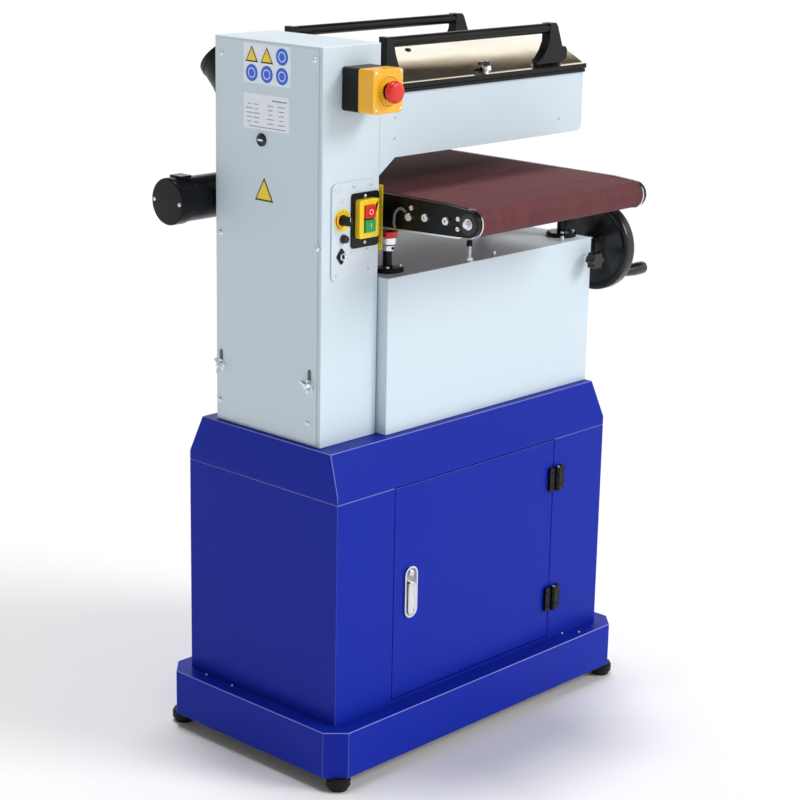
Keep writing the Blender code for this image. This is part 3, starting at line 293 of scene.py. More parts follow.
LOOKS = {
    "blue_paint": powder_coat(
        "blue_powder_coat", linear(15, 39, 162), linear(150, 158, 228), linear(38, 55, 170), 0.34, 0.1
    ),
    "grey_paint": powder_coat(
        "grey_powder_coat", linear(212, 227, 237), linear(242, 246, 249), linear(200, 214, 225), 0.40, 0.3
    ),
    "black_paint": powder_coat(
        "black_powder_coat", linear(7, 8, 12), linear(70, 70, 74), linear(22, 23, 27), 0.28, 0.22
    ),
    "black_plastic": moulded(
        "black_moulding", linear(9, 10, 12), 0.36, pale=linear(44, 44, 46), shine=0.25
    ),
    "black_gloss": moulded(
        "black_bakelite", linear(9, 9, 11), 0.18, 0.00002, pale=linear(36, 36, 38)
    ),
    "rubber": moulded("black_rubber", linear(10, 10, 11), 0.5, 0.0001, pale=linear(36, 36, 36), shine=0.25),
    "polished_steel": polished_sheet(),
    "machined_steel": metal("turned_steel", linear(168, 168, 170), 0.3, linear(96, 92, 86)),
    "zinc": metal("zinc_plate", linear(240, 243, 248), 0.34, linear(196, 198, 202)),
    "chrome": metal("bright_chrome", linear(222, 224, 228), 0.09, linear(170, 172, 178)),
    "abrasive": abrasive(
        "conveyor_abrasive", linear(99, 48, 52), linear(126, 74, 76), linear(62, 28, 31)
    ),
    "drum_abrasive": abrasive(
        "drum_abrasive_cloth", linear(118, 78, 62), linear(156, 116, 92), linear(76, 48, 40), "X"
    ),
    "silver_panel": powder_coat(
        "panel_lacquer", linear(214, 226, 236), linear(236, 242, 246), linear(198, 208, 216), 0.34, 0.4
    ),
    "yellow_plastic": moulded(
        "yellow_moulding", linear(255, 186, 34), 0.34, pale=linear(255, 208, 90)
    ),
    "switch_yellow": moulded(
        "switch_yellow_moulding", linear(250, 212, 26), 0.34, pale=linear(253, 228, 96)
    ),
    "red_plastic": moulded("red_moulding", linear(224, 34, 26), 0.3, pale=linear(238, 92, 80)),
    "green_plastic": moulded("green_moulding", linear(30, 158, 74), 0.34, pale=linear(90, 186, 120)),
    "cable_grey": moulded("grey_cable", linear(92, 94, 96), 0.45, pale=linear(130, 130, 130)),
    "label_white": printed("label_white", linear(238, 245, 255)),
    "label_blue": printed("label_blue", linear(14, 98, 228)),
    "label_yellow": printed("label_yellow", linear(250, 216, 20)),
    "label_black": printed("label_black", linear(28, 28, 28)),
    "label_grey": printed("label_grey", linear(104, 112, 132)),
    "label_orange": printed("label_orange", linear(226, 132, 10)),
    "gap_blue": moulded("shaded_blue", linear(3, 14, 112), 0.6, pale=linear(10, 26, 128), shine=0.04),
    "dark_hole": moulded("dark_recess", linear(12, 12, 13), 0.8),
}


# --- mesh making ---
def on_axis(axis, along, a, b):
    """A point from its place along an axis and its two other coordinates, in X, Y, Z order."""
    if axis == "X":
        return (along, a, b)
    if axis == "Y":
        return (a, along, b)
    return (a, b, along)


def skin(rings, closed=False):
    """A mesh through rings of points. Its ends are filled unless it closes on itself."""
    bm = bmesh.new()
    made = [[bm.verts.new(p) for p in ring] for ring in rings]
    pairs = list(zip(made, made[1:]))
    if closed:
        pairs.append((made[-1], made[0]))
    for low, high in pairs:
        for i in range(len(low)):
            j = (i + 1) % len(low)
            bm.faces.new((low[i], low[j], high[j], high[i]))
    if not closed:
        bm.faces.new(made[0])
        bm.faces.new(made[-1])
    return bm


def prism(outline, axis, start, end):
    return skin([[on_axis(axis, s, a, b) for a, b in outline] for s in (start, end)])


def block(low, high):
    outline = [(low[0], low[1]), (high[0], low[1]), (high[0], high[1]), (low[0], high[1])]
    return prism(outline, "Z", low[2], high[2])


def frame_of(outer, inner, axis, start, end):
    """A ring of any outline, open right through."""
    order = ((outer, start), (outer, end), (inner, end), (inner, start))
    rings = [[on_axis(axis, s, a, b) for a, b in line] for line, s in order]
    return skin(rings, closed=True)


def bored(start, *steps):
    """(place, radius) pairs in metres, from steps of (distance past the start, radius) in millimetres."""
    return [(start + step / 1000, radius / 1000) for step, radius in steps]


def turned(start, *steps):
    """The same, closed onto the axis at both ends."""
    line = bored(start, *steps)
    return [(line[0][0], 0.0), *line, (line[-1][0], 0.0)]


def circle(sides, start=0.0):
    """Cosine and sine at even turns, from so many sides past zero."""
    turns = [2 * math.pi * (i + start) / sides for i in range(sides)]
    return [(math.cos(turn), math.sin(turn)) for turn in turns]


def lathe(profile, axis="Z", centre=(0.0, 0.0), sides=96):
    """A profile of (place along the axis, radius), turned about the axis through centre."""
    bm = bmesh.new()
    rings = []
    for along, radius in profile:
        spots = [(radius * c, radius * s) for c, s in circle(sides, 0.5)] if radius else [(0.0, 0.0)]
        rings.append(
            [bm.verts.new(on_axis(axis, along, centre[0] + a, centre[1] + b)) for a, b in spots]
        )
    pairs = list(zip(rings, rings[1:]))
    if profile[0][1]:
        pairs.append((rings[-1], rings[0]))
    for low, high in pairs:
        for i in range(sides):
            j = (i + 1) % sides
            if len(low) == 1:
                bm.faces.new((low[0], high[j], high[i]))
            elif len(high) == 1:
                bm.faces.new((low[i], low[j], high[0]))
            else:
                bm.faces.new((low[i], low[j], high[j], high[i]))
    return bm


def arc(centre, radius, start, end, steps):
    turns = [math.radians(start + (end - start) * i / steps) for i in range(steps + 1)]
    return [(centre[0] + radius * math.cos(t), centre[1] + radius * math.sin(t)) for t in turns]


def round_rectangle(low, high, radius, steps=8):
    left, right = low[0] + radius, high[0] - radius
    bottom, top = low[1] + radius, high[1] - radius
    corners = zip(((right, top), (left, top), (left, bottom), (right, bottom)), (0, 90, 180, 270))
    return [p for centre, turn in corners for p in arc(centre, radius, turn, turn + 90, steps)]


def around(centre, half, radius, steps=8):
    low = (centre[0] - half[0], centre[1] - half[1])
    high = (centre[0] + half[0], centre[1] + half[1])
    return round_rectangle(low, high, radius, steps)


def sweep(points, radius):
    """A round rod along a smooth line of points."""
    path = [Vector(p) for p in points]
    side = UP
    rings = []
    for i, place in enumerate(path):
        ahead = path[min(i + 1, len(path) - 1)] - path[max(i - 1, 0)]
        ahead.normalize()
        across = ahead.cross(side)
        if across.length < 0.1:
            across = ahead.cross(RIGHT)
        across.normalize()
        side = across.cross(ahead)
        rings.append([place + radius * (c * across + s * side) for c, s in circle(20)])
    return skin(rings)


def curve_through(points):
    """A smooth line through the points."""
    path = [Vector(p) for p in points]
    padded = [2 * path[0] - path[1], *path, 2 * path[-1] - path[-2]]
    line = []
    for a, b, c, d in zip(padded, padded[1:], padded[2:], padded[3:]):
        for t in (i / 10 for i in range(10)):
            square = (2 * a - 5 * b + 4 * c - d) * t * t
            cube = (3 * b - a - 3 * c + d) * t * t * t
            line.append(0.5 * (2 * b + (c - a) * t + square + cube))
    return [*line, path[-1]]


def soften(bm, width, segments=3, angle=30):
    """Rounds each edge that is sharper than the angle, and marks the rounded strips for rubbed edges and
    painted edge highlight.
    """
    limit = math.radians(angle)
    edges = [e for e in bm.edges if len(e.link_faces) == 2 and e.calc_face_angle(0.0) > limit]
    made = bmesh.ops.bevel(
        bm, geom=edges, offset=width, offset_type="OFFSET", segments=segments, profile=0.5,
        affect="EDGES", clamp_overlap=True,
    )
    strips = set(made["faces"])
    layer = bm.verts.layers.float.new("edge_rub_and_highlight")
    for vert in bm.verts:
        rub_and_highlight = vert.link_faces and all(face in strips for face in vert.link_faces)
        vert[layer] = 1.0 if rub_and_highlight else 0.0
    return bm


def joined(*parts):
    """Several meshes as one."""
    whole = bmesh.new()
    for part in parts:
        mesh = bpy.data.meshes.new("part")
        part.to_mesh(mesh)
        part.free()
        whole.from_mesh(mesh)
        bpy.data.meshes.remove(mesh)
    return whole


def carved(bm, *cutters):
    """The mesh with the cutters' shapes taken out of it."""
    target, *tools = [scratch(part) for part in (bm, *cutters)]
    for tool in tools:
        step = target.modifiers.new("carve", "BOOLEAN")
        step.operation = "DIFFERENCE"
        step.solver = "EXACT"
        step.object = tool
    graph = bpy.context.evaluated_depsgraph_get()
    result = bmesh.new()
    result.from_mesh(target.evaluated_get(graph).to_mesh())
    for obj in (target, *tools):
        bpy.data.objects.remove(obj)
    return result


def scratch(bm, name="scratch"):
    """The mesh as an object of the scene."""
    bmesh.ops.recalc_face_normals(bm, faces=bm.faces)
    mesh = bpy.data.meshes.new(name)
    bm.to_mesh(mesh)
    bm.free()
    obj = bpy.data.objects.new(name, mesh)
    bpy.context.scene.collection.objects.link(obj)
    return obj


def add(name, bm, look, body="machine", replaces=(), smooth=35, shift=True):
    """Makes the mesh a piece of the visual model, riding on a body."""
    if shift:
        bmesh.ops.translate(bm, verts=bm.verts, vec=MIDDLE)
    obj = scratch(bm, name)
    obj.data.shade_smooth()
    obj.data.set_sharp_from_angle(angle=math.radians(smooth))
    obj.data.materials.append(LOOKS[look])
    obj.modifiers.new("even_shading", "WEIGHTED_NORMAL").keep_sharp = True
    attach(obj, body)
    if replaces:
        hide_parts(*replaces)


def solid_of(node):
    """The CAD node's own shape, with its flat faces whole again."""
    bm = bmesh.new()
    bm.from_mesh(frame["nodes"][node].data)
    bmesh.ops.remove_doubles(bm, verts=bm.verts, dist=0.00001)
    bmesh.ops.dissolve_limit(
        bm, angle_limit=math.radians(1.0), use_dissolve_boundaries=False, verts=bm.verts,
        edges=bm.edges,
    )
    return bm


def body_of(node):
    return frame["nodes"][node]["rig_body"]


def refine(node, look, width, segments=3):
    """Replaces a CAD node with the same shape with rounded edges."""
    bm = soften(solid_of(node), width, segments)
    add(f"{node}_skin", bm, look, body_of(node), [node], shift=False)


# --- fasteners, pointing up from the origin ---
def pan_head(radius):
    height = 0.6 * radius
    dome = [(0.0, 0.0), (0.0, radius)]
    dome += [
        (height * math.sin(t), radius * math.cos(t) ** 0.55)
        for t in (math.radians(a) for a in (20, 40, 58, 74, 84))
    ]
    dome.append((height, 0.0))
    arm, half = 0.62 * radius, 0.13 * radius
    bars = [
        block((-arm, -half, 0.45 * height), (arm, half, 2 * height)),
        block((-half, -arm, 0.45 * height), (half, arm, 2 * height)),
    ]
    return carved(lathe(dome, sides=32), *bars)


def scaled(radius, *steps):
    """(place, radius) pairs as multiples of a radius."""
    return [(radius * a, radius * b) for a, b in steps]


def hexagon(radius):
    return [(radius * c, radius * s) for c, s in circle(6)]


def hex_head(radius, height=None):
    height = height or 0.62 * radius
    base = 0.16 * radius
    top = base + 1.32 * height
    wide, rim, core, tip = (share * radius for share in (1.42, 1.36, 0.5, 0.43))
    washer = lathe([(0, 0), (0, wide), (base * 0.7, wide), (base, rim), (base, 0)], sides=40)
    nut = soften(prism(hexagon(radius), "Z", base, base + height), 0.08 * radius, 2)
    end = lathe(
        [(base, 0), (base, core), (base + 1.25 * height, core), (top, tip), (top, 0)], sides=28
    )
    return joined(washer, nut, end)


def wing_nut(radius):
    profile = ((0, 0), (0, 1), (0.12, 1), (0.12, 0.62), (1, 0.42), (1, 0.26), (1.3, 0.26), (1.3, 0))
    parts = [lathe(scaled(radius, *profile), sides=36)]
    shape = ((0.30, 0.15), (1.05, 0.55), (1.42, 1.05), (1.36, 1.42), (1.00, 1.48), (0.25, 0.90))
    half = 0.15 * radius
    for side in (-radius, radius):
        outline = [(side * a, radius * b) for a, b in shape]
        parts.append(soften(prism(outline, "Y", -half, half), 0.09 * radius, 2))
    return joined(*parts)


def plain_head(radius, height, shoulder, rim):
    """A round head whose top edge is chamfered."""
    line = [(0, 0), (0, radius), (height * shoulder, radius), (height, radius * rim), (height, 0)]
    return lathe(line, sides=40)


def socket_head(radius):
    height = 0.9 * radius
    pocket = prism(hexagon(0.5 * radius), "Z", 0.4 * height, 2 * height)
    return carved(plain_head(radius, height, 0.86, 0.9), pocket)


def slotted_head(radius):
    height = 0.5 * radius
    slot = block((-2 * radius, -0.11 * radius, 0.5 * height), (2 * radius, 0.11 * radius, 1.0))
    return carved(plain_head(radius, height, 0.75, 0.86), slot)


def placed(part, at, facing, spin=0.0):
    turn = UP.rotation_difference(Vector(facing)).to_matrix().to_4x4()
    matrix = Matrix.Translation(at) @ turn @ Matrix.Rotation(math.radians(spin), 4, "Z")
    bmesh.ops.transform(part, verts=part.verts, matrix=matrix)
    return part


def hardware(name, kind, radius, places, facing, look="zinc", body="machine"):
    """One piece that holds a set of the same fastener. Each is turned its own way."""
    parts = [placed(kind(radius), at, facing, 37.0 * i + 11.0) for i, at in enumerate(places)]
    add(name, joined(*parts), look, body)


# --- base and cabinet ---
def centre_of(node):
    """The middle of a CAD node's box, as one of the machine's places, and half its size."""
    low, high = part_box(node)
    return (low + high) / 2 - MIDDLE, (high - low) / 2


def base():
    refine("base_plinth", "blue_paint", 0.0020, 4)
    refine("cabinet_shell", "blue_paint", 0.0011, 4)
    refine("cabinet_cap", "blue_paint", 0.0022, 4)
    for corner in POSTS:
        node = f"foot_{corner}"
        middle, half = centre_of(node)
        rings = ((0, 0.74), (0.6, 0.78), (4.5, 0.84), (7.5, 0.95), (9, 1), (20, 1), (20.8, 0.97),
                 (21.4, 0.88), (24.7, 0.88))
        rings = [(step, 1000 * half.x * share) for step, share in rings]
        pad = turned(0.0, *rings, (24.7, 6), (106.6, 6))
        add(f"{node}_pad", lathe(pad, "Z", middle[:2], 64), "rubber", body_of(node), [node])
    rivets = [(x, y, 0.1102) for x in (-0.3685, 0.3685) for y in (0.138, 0.069)]
    rivets += [(0.259, -0.1885, 0.1102), (0.2875, -0.2078, 0.1102)]
    hardware("plinth_rivets", pan_head, 0.0026, rivets, UP)


def door():
    refine("cabinet_door", "blue_paint", 0.0007, 3)
    for side, (low, high) in {"upper": (0.4125, 0.4585), "lower": (0.172, 0.219)}.items():
        hinge(side, low, high)
    handle()
    outer = ((-0.2212, 0.1163), (0.2152, 0.1163), (0.2152, 0.5128), (-0.2212, 0.5128))
    inner = ((-0.2190, 0.1185), (0.2130, 0.1185), (0.2130, 0.5105), (-0.2190, 0.5105))
    gap = frame_of(outer, inner, "Y", CABINET_FRONT - 0.0002, CABINET_FRONT + 0.0004)
    add("door_gap_shade", gap, "gap_blue")


def hinge(side, low, high):
    """A black block hinge: one leaf rides on the door, the other stays on the cabinet."""
    back = CABINET_FRONT - 0.0003
    face = back - 0.0062
    pin = (0.2195, -0.1945)
    third = (high - low) / 3
    split = 0.0004
    leaves = {
        "door": ((0.1985, 0.2130), (0.2120, pin[0]), [(low + third, high - third)]),
        "cabinet": ((0.2260, 0.2400), (pin[0], 0.2270),
                    [(low, low + third - split), (high - third + split, high)]),
    }
    for part, (x, reach, spans) in leaves.items():
        name = f"hinge_{side}_{part}"
        body, replaced = ("door", [f"door_hinge_{side}"]) if part == "door" else ("machine", [])
        leaf = prism(round_rectangle((x[0], low), (x[1], high), 0.004), "Y", face, back)
        pieces = [soften(leaf, 0.0018, 4)]
        for start, end in spans:
            barrel = [*turned(start, (0, 5), (0.6, 5.6))[:-1], *turned(end, (-0.6, 5.6), (0, 5))[1:]]
            arm = block((reach[0], pin[1], start), (reach[1], face + 0.004, end))
            pieces += [lathe(barrel, "Z", pin, 40), soften(arm, 0.0005)]
        add(name, joined(*pieces), "black_paint", body, replaced)
        spots = [(sum(x) / 2, face, z) for z in (low + 0.010, high - 0.010)]
        hardware(f"{name}_screws", pan_head, 0.0030, spots, FRONT, "black_gloss", body)
    end = turned(high, (0, 3), (1.2, 3), (1.8, 2.2))
    add(f"hinge_{side}_pin", lathe(end, "Z", pin, 32), "zinc")


def lozenge(middle, half_x, half_z):
    """A slot with round ends."""
    return around(middle, (half_x, half_z), half_x - 0.0001, 16)


def handle():
    """A chromed flush lock: a slot-shaped bezel, a dished pan, a paddle and a round key barrel."""
    x, back = -0.1780, CABINET_FRONT - 0.0003

    def slot(z, half_x, half_z, start, end):
        return prism(lozenge((x, z), half_x, half_z), "Y", back - start, back - end)

    outer, inner = (lozenge((x, 0.3115), *half) for half in ((0.0160, 0.0480), (0.0128, 0.0448)))
    bezel = soften(frame_of(outer, inner, "Y", back - 0.0036, back), 0.0010, 3)
    add("door_lock_bezel", bezel, "chrome", "door")
    add("door_lock_pan", slot(0.3115, 0.0130, 0.0450, 0.0006, 0.0), "machined_steel", "door")
    paddle = carved(
        slot(0.3005, 0.0098, 0.0310, 0.0062, 0.0010), slot(0.3005, 0.0062, 0.0265, 0.01, 0.0048)
    )
    add("door_lock_paddle", soften(paddle, 0.0006, 3), "chrome", "door_lever", ["door_handle"])
    barrel = lathe(turned(back, (-4.8, 5), (-4.2, 5.8), (-0.6, 5.8)), "Y", (x, 0.3465), 48)
    keyhole = block((x - 0.0006, back - 0.01, 0.3434), (x + 0.0006, back - 0.0036, 0.3496))
    add("door_lock_barrel", carved(barrel, keyhole), "chrome", "door")


# --- column ---
def column():
    refine("column_shell", "grey_paint", 0.0011, 4)
    refine("column_side_cover", "grey_paint", 0.0006, 3)
    x = COLUMN_LEFT - 0.0001
    screws = [
        (x, 0.1155, 1.241), (x, -0.1085, 1.249), (x, 0.120, 0.933), (x, -0.1166, 0.939),
        (x, 0.124, 0.632), (x, -0.097, 0.6345),
    ]
    hardware("cover_screws", pan_head, 0.0050, screws, LEFT)
    latches = [(x, 0.120, 0.697), (x, -0.101, 0.702)]
    hardware("cover_wing_nuts", wing_nut, 0.0098, latches, LEFT)
    # Painted shade: a grey sheet over each latch slot stands for the shadow inside it.
    slots = [
        prism(around((y, z + 0.0150), (0.0042, 0.0130), 0.0041), "X", x - 0.0002, x)
        for _, y, z in latches
    ]
    add("cover_slot_shade", joined(*slots), "cable_grey")
    labels()
    plug = turned(x, (0, 11), (-2.2, 11), (-3.2, 9.8), (-2.2, 7.2), (-3, 6))
    add("cover_plug", lathe(plug, "X", (0.0166, 1.105), 48), "black_gloss")
    bar = block((x - 0.0042, 0.0106, 1.1036), (x - 0.0028, 0.0226, 1.1064))
    add("cover_plug_bar", soften(bar, 0.0005), "zinc")
    scale()


def plate(name, middle, half, look):
    """A printed plate on the column's left side."""
    x = COLUMN_LEFT - 0.0001
    add(name, prism(around(middle, half, 0.002, 4), "X", x - 0.0002, x), look)


def triangle(y, z, height, look, name, lift):
    x = COLUMN_LEFT - lift
    half = height * 0.56
    points = [(y - half, z - height / 2), (y + half, z - height / 2), (y, z + height / 2)]
    add(name, soften(prism(points, "X", x - 0.0003, x), 0.00008, 1), look)


def labels():
    """Plain coloured plates where the real machine has its labels."""
    plate("symbol_plate", (0.0043, 1.231), (0.0567, 0.033), "label_white")
    for i, y in enumerate((0.041, 0.0045)):
        triangle(y, 1.2465, 0.0270, "label_black", f"symbol_triangle_edge_{i}", 0.0003)
        triangle(y, 1.2458, 0.0205, "label_yellow", f"symbol_triangle_{i}", 0.0005)
    discs = [(-0.032, 1.2470), (0.041, 1.2150), (0.0045, 1.2150), (-0.032, 1.2150)]
    x = COLUMN_LEFT - 0.0003
    disc = turned(x, (0, 14.2), (-0.3, 14.2))
    ring = bored(x, (-0.3, 8.5), (-0.5, 8.5), (-0.5, 7), (-0.3, 7))
    add("symbol_discs", joined(*(lathe(disc, "X", at, 48) for at in discs)), "label_blue")
    add("symbol_disc_rings", joined(*(lathe(ring, "X", at, 40) for at in discs)), "label_white")
    plate("rating_plate", (0.006, 1.1515), (0.055, 0.0295), "label_white")
    rules = [(-0.043, -0.008, 1.1716, 1.1734)]
    for row, z in enumerate((1.1635, 1.1560, 1.1485, 1.1410, 1.1335)):
        for column, y in enumerate((0.047, 0.030, -0.004, -0.030)):
            half = 0.0042 + 0.0014 * ((3 * row + 5 * column) % 4)
            rules.append((y - half, y + half, z - 0.0006, z + 0.0006))
    rules.append((-0.040, 0.048, 1.1257, 1.1268))
    rules = [block((x - 0.0001, y0, z0), (x + 0.0001, y1, z1)) for y0, y1, z0, z1 in rules]
    add("rating_plate_rules", joined(*rules), "label_grey")
    triangle(0.0108, 1.0220, 0.0400, "label_black", "side_triangle_edge", 0.0001)
    triangle(0.0108, 1.0210, 0.0320, "label_yellow", "side_triangle", 0.0003)


def scale():
    """The thickness scale beside the table: a yellow strip with plain division lines."""
    left, right, front = -0.2076, -0.2066, -0.1332
    strip = block((left, -0.1335, 0.922), (right, -0.1215, 1.033))
    add("depth_scale", soften(strip, 0.0003, 2), "label_yellow")
    marks = []
    for i in range(54):
        z = 0.9245 + 0.002 * i
        reach = 0.0040 if i % 5 else 0.0075
        marks.append(block((left - 0.0002, front, z - 0.0002), (left, front + reach, z + 0.0002)))
    add("depth_scale_marks", joined(*marks), "label_black")


# --- lower box and lift ---
def lower_box():
    refine("lower_box", "grey_paint", 0.0011, 4)
    ring = bored(
        BOX_TOP, (0.1, 10.5), (0.1, 28.6), (7, 28.6), (8.6, 27.2), (8.6, 18), (9.2, 16.8), (9.2, 10.5)
    )
    flanges = [lathe(ring, "Z", at, 64) for at in POSTS.values()]
    add("post_flanges", joined(*flanges), "black_paint")
    reach = 0.0222 * math.sqrt(0.5)
    heads = [
        (x + reach * a, y + reach * b, 0.8817)
        for x, y in POSTS.values() for a, b in ((1, 1), (-1, 1), (-1, -1), (1, -1))
    ]
    hardware("post_flange_bolts", socket_head, 0.0034, heads, UP)
    end = turned(BOX_TOP, (0, 3.4), (7.5, 3.4), (8.5, 2.6))
    studs = [lathe(end, "Z", at, 24) for at in ((0.086, -0.133), (0.285, -0.130), (0.086, 0.133))]
    add("box_top_studs", joined(*studs), "zinc")
    hardware("box_side_screws", pan_head, 0.0038, [(0.352, y, 0.62) for y in (-0.12, 0.12)], RIGHT)
    stop_bolt()
    rod = turned(0.757, (0, 7), (1, 8), (187.2, 8))
    collar = bored(
        0.909, (0, 8.2), (0, 11.2), (0.8, 12), (9, 12), (12.5, 15.2), (23.2, 15.8), (24, 15), (24, 8.2)
    )
    for name, at in POSTS.items():
        add(f"post_{name}", lathe(rod, "Z", at, 48), "black_paint", "table", [f"lift_screw_{name}"])
        add(f"post_collar_{name}", lathe(collar, "Z", at, 64), "zinc", "table")
        screw = [(at[0], at[1] - 0.0112, 0.9140)]
        hardware(f"post_setscrew_{name}", socket_head, 0.0026, screw, FRONT, "black_gloss", "table")
    dress("machined_steel", *(f"lift_nut_{corner}" for corner in POSTS), "lift_chain", "lift_shaft")
    pointer()


def stop_bolt():
    at = (0.013, -0.138)
    add("stop_bolt_nut", placed(hex_head(0.0062, 0.0050), (*at, BOX_TOP), UP, 12), "zinc")
    threads = [
        step for turn in range(20)
        for step in ((6 + turn, 3.6), (6.4 + turn, 4), (6.8 + turn, 3.6))
    ]
    stud = turned(BOX_TOP, (0, 3.6), *threads, (27, 3.6))
    add("stop_bolt_stud", lathe(stud, "Z", at, 32), "zinc")
    cap = turned(0.9, (0, 5.2), (8.5, 5.2), (10, 4.2))
    add("stop_bolt_cap", lathe(cap, "Z", at, 40), "rubber")


def pointer():
    """The red ring that reads on the scale."""
    x, y = POSTS["front_left"]
    ring = bored(0.9335, (0, 8.3), (0, 16.6), (0.7, 17.4), (9.7, 17.4), (10.4, 16.6), (10.4, 8.3))
    tip = [(x - 0.0120, y - 0.0082), (x - 0.0440, y - 0.0330), (x - 0.0120, y + 0.0042)]
    whole = joined(lathe(ring, "Z", (x, y), 64), soften(prism(tip, "Z", 0.9376, 0.9398), 0.0004, 2))
    add("depth_pointer_ring", whole, "red_plastic", "table", ["depth_pointer"])


def handwheel():
    x = 0.3655
    profile = turned(
        x, (0, 16), (1.2, 17.2), (12, 18), (15, 21.2), (18, 30), (23, 52), (25.8, 69), (25.2, 73.5),
        (23.2, 77), (22.2, 81.5), (23, 84.5), (25.5, 85.8), (29, 86), (41, 86), (44.5, 85.4),
        (45.8, 83.2), (46, 80), (44.8, 77.6), (40, 75.2), (34.5, 73.5), (30, 54), (26.2, 33),
        (27.5, 28.5), (35, 21.2), (38, 19), (40, 16), (40, 9), (37.5, 8)
    )
    disc = lathe(profile, "X", WHEEL_AXIS, 128)
    add("handwheel_disc", disc, "black_gloss", "wheel", ["handwheel"], smooth=50)
    nut = placed(hex_head(0.0062), (x + 0.0374, *WHEEL_AXIS), RIGHT, 20)
    add("handwheel_nut", nut, "zinc", "wheel")
    grip_at = (-0.1715, 0.8005)
    pin, boss = turned(x, (30, 4), (102.5, 4), (104.5, 3)), turned(x, (33.5, 9.8), (42, 9.2), (45.5, 7.8))
    whole = joined(lathe(pin, "X", grip_at, 40), lathe(boss, "X", grip_at, 48))
    add("handwheel_pin", whole, "zinc", "wheel")
    grip = bored(
        0.4150, (56.8, 0), (56.8, 4.6), (0, 4.6), (0, 7.2), (1, 8), (5, 9.2), (8, 8.6), (10, 9),
        (20, 10.6), (35, 11.9), (48, 12.5), (60, 12.5), (64, 12), (65, 10.8), (66, 12), (70, 11.4),
        (72.2, 9.6), (72.8, 6), (73, 0)
    )
    body = lathe(grip, "X", grip_at, 64)
    add("crank_grip_body", body, "black_gloss", "grip", ["crank_grip"], smooth=60)
    bush = bored(0.3522, (0, 6.6), (0, 15), (1.8, 15), (3.4, 13.4), (3.4, 6.6))
    add("handwheel_bush", lathe(bush, "X", WHEEL_AXIS, 56), "black_paint")


def lock_knob():
    x, z = at = (0.330, 0.836)
    face = -0.1473
    tip = face - 0.036
    outline = []
    for i, (c, s) in enumerate(circle(120)):
        reach = 0.0145 + 0.0021 * math.cos(math.pi * i / 10)
        outline.append((x + reach * c, z + reach * s))
    head = soften(prism(outline, "Y", tip, tip + 0.018), 0.0024, 4, 50)
    neck = lathe(turned(tip, (17, 10), (22, 8.2), (24.5, 7.6)), "Y", at, 48)
    add("lock_knob_head", joined(head, neck), "black_gloss", "table_lock", ["lock_knob"], smooth=50)
    stud = turned(tip, (24, 4), (36, 4))
    add("lock_knob_stud", lathe(stud, "Y", at, 32), "zinc", "table_lock")
    washer = bored(-0.1487, (0, 4.5), (0, 8.5), (1.5, 8.8), (1.5, 4.5))
    add("lock_knob_washer", lathe(washer, "Y", at, 40), "zinc")


# --- arm, hood and drum ---
def arm():
    refine("arm_housing", "grey_paint", 0.0012, 4)
    places = [(-0.169, ARM_FRONT, 1.143), (-0.171, ARM_FRONT, 1.108)]
    hardware("arm_screws", socket_head, 0.0026, places, FRONT)
    hardware("arm_end_screw", pan_head, 0.0032, [(0.267, ARM_FRONT, 1.103)], FRONT, "grey_paint")
    y, z = DRUM_AXIS
    places = [(0.334, y + dy, z + dz) for dy in (-0.03, 0.03) for dz in (-0.03, 0.03)]
    hardware("arm_right_screws", hex_head, 0.0062, places, RIGHT)
    for node in ("drum_bearing_left", "drum_bearing_right"):
        refine(node, "black_paint", 0.0014, 3)
    trim()


def edge_strip(z_low, z_high, reach, x_end, y_end):
    """A strip round the front and the open end, seen from above as an L with a rounded corner."""
    inner_y, outer_y = ARM_FRONT - 0.0002, ARM_FRONT - reach
    inner_x, outer_x = x_end + 0.0002, x_end + reach
    corner = 0.006
    outline = [
        (HOOD_X[0] + 0.0010, outer_y),
        *arc((outer_x - corner, outer_y + corner), corner, -90, 0, 8),
        (outer_x, y_end),
        (inner_x, y_end),
        (inner_x, inner_y),
        (HOOD_X[0] + 0.0010, inner_y),
    ]
    return soften(prism(outline, "Z", z_low, z_high), 0.0011, 4)


def trim():
    """Black rubber along the arm's rim and along the hood's lower edge."""
    add("arm_rim_rubber", edge_strip(1.1838, 1.1893, 0.0040, 0.334, 0.110), "rubber")
    add("hood_edge_rubber", edge_strip(1.1906, 1.1985, 0.0046, 0.336, 0.112), "rubber", "hood")


def hood_arc(start, offset):
    run, rise = start[0] - HOOD_APEX[0], HOOD_APEX[1] - start[1]
    radius = (run * run + rise * rise) / (2 * rise)
    centre = (HOOD_APEX[0], HOOD_APEX[1] - radius)
    turn = math.degrees(math.asin(run / radius))
    return arc(centre, radius + offset, 90 - turn, 90, 40)


def hood_outline(offset):
    front, rear = HOOD_EDGES_Y[0] - offset, HOOD_EDGES_Y[1] + offset
    rise = hood_arc((HOOD_EDGES_Y[0] + 0.004, HOOD_SHOULDER), offset)
    fall = hood_arc((HOOD_EDGES_Y[1] - 0.004, HOOD_SHOULDER), offset)
    shoulder = HOOD_SHOULDER + offset
    return [
        (front, HOOD_LOW), (front, shoulder - 0.001), *rise, *reversed(fall[:-1]),
        (rear, shoulder - 0.001), (rear, HOOD_LOW),
    ]


def hood_height(y):
    """The hood's outer skin over a place across the machine."""
    line = hood_outline(0.0)
    for (y0, z0), (y1, z1) in zip(line, line[1:]):
        if y0 <= y <= y1 and y1 > y0:
            return z0 + (z1 - z0) * (y - y0) / (y1 - y0)
    return HOOD_SHOULDER


def hood():
    shell = frame_shell(hood_outline(0.0), hood_outline(-HOOD_SHEET), *HOOD_X)
    add("hood_skin", shell, "polished_steel", "hood", ["drum_hood"], smooth=40)
    bars("front", -0.110)
    bars("rear", 0.118)
    latch()
    x, y = -0.030, -0.020
    spot = [(x, y, hood_height(y) - 0.0006)]
    hardware("hood_top_screw", pan_head, 0.0060, spot, (0.0, -0.12, 1.0), "black_gloss", "hood")


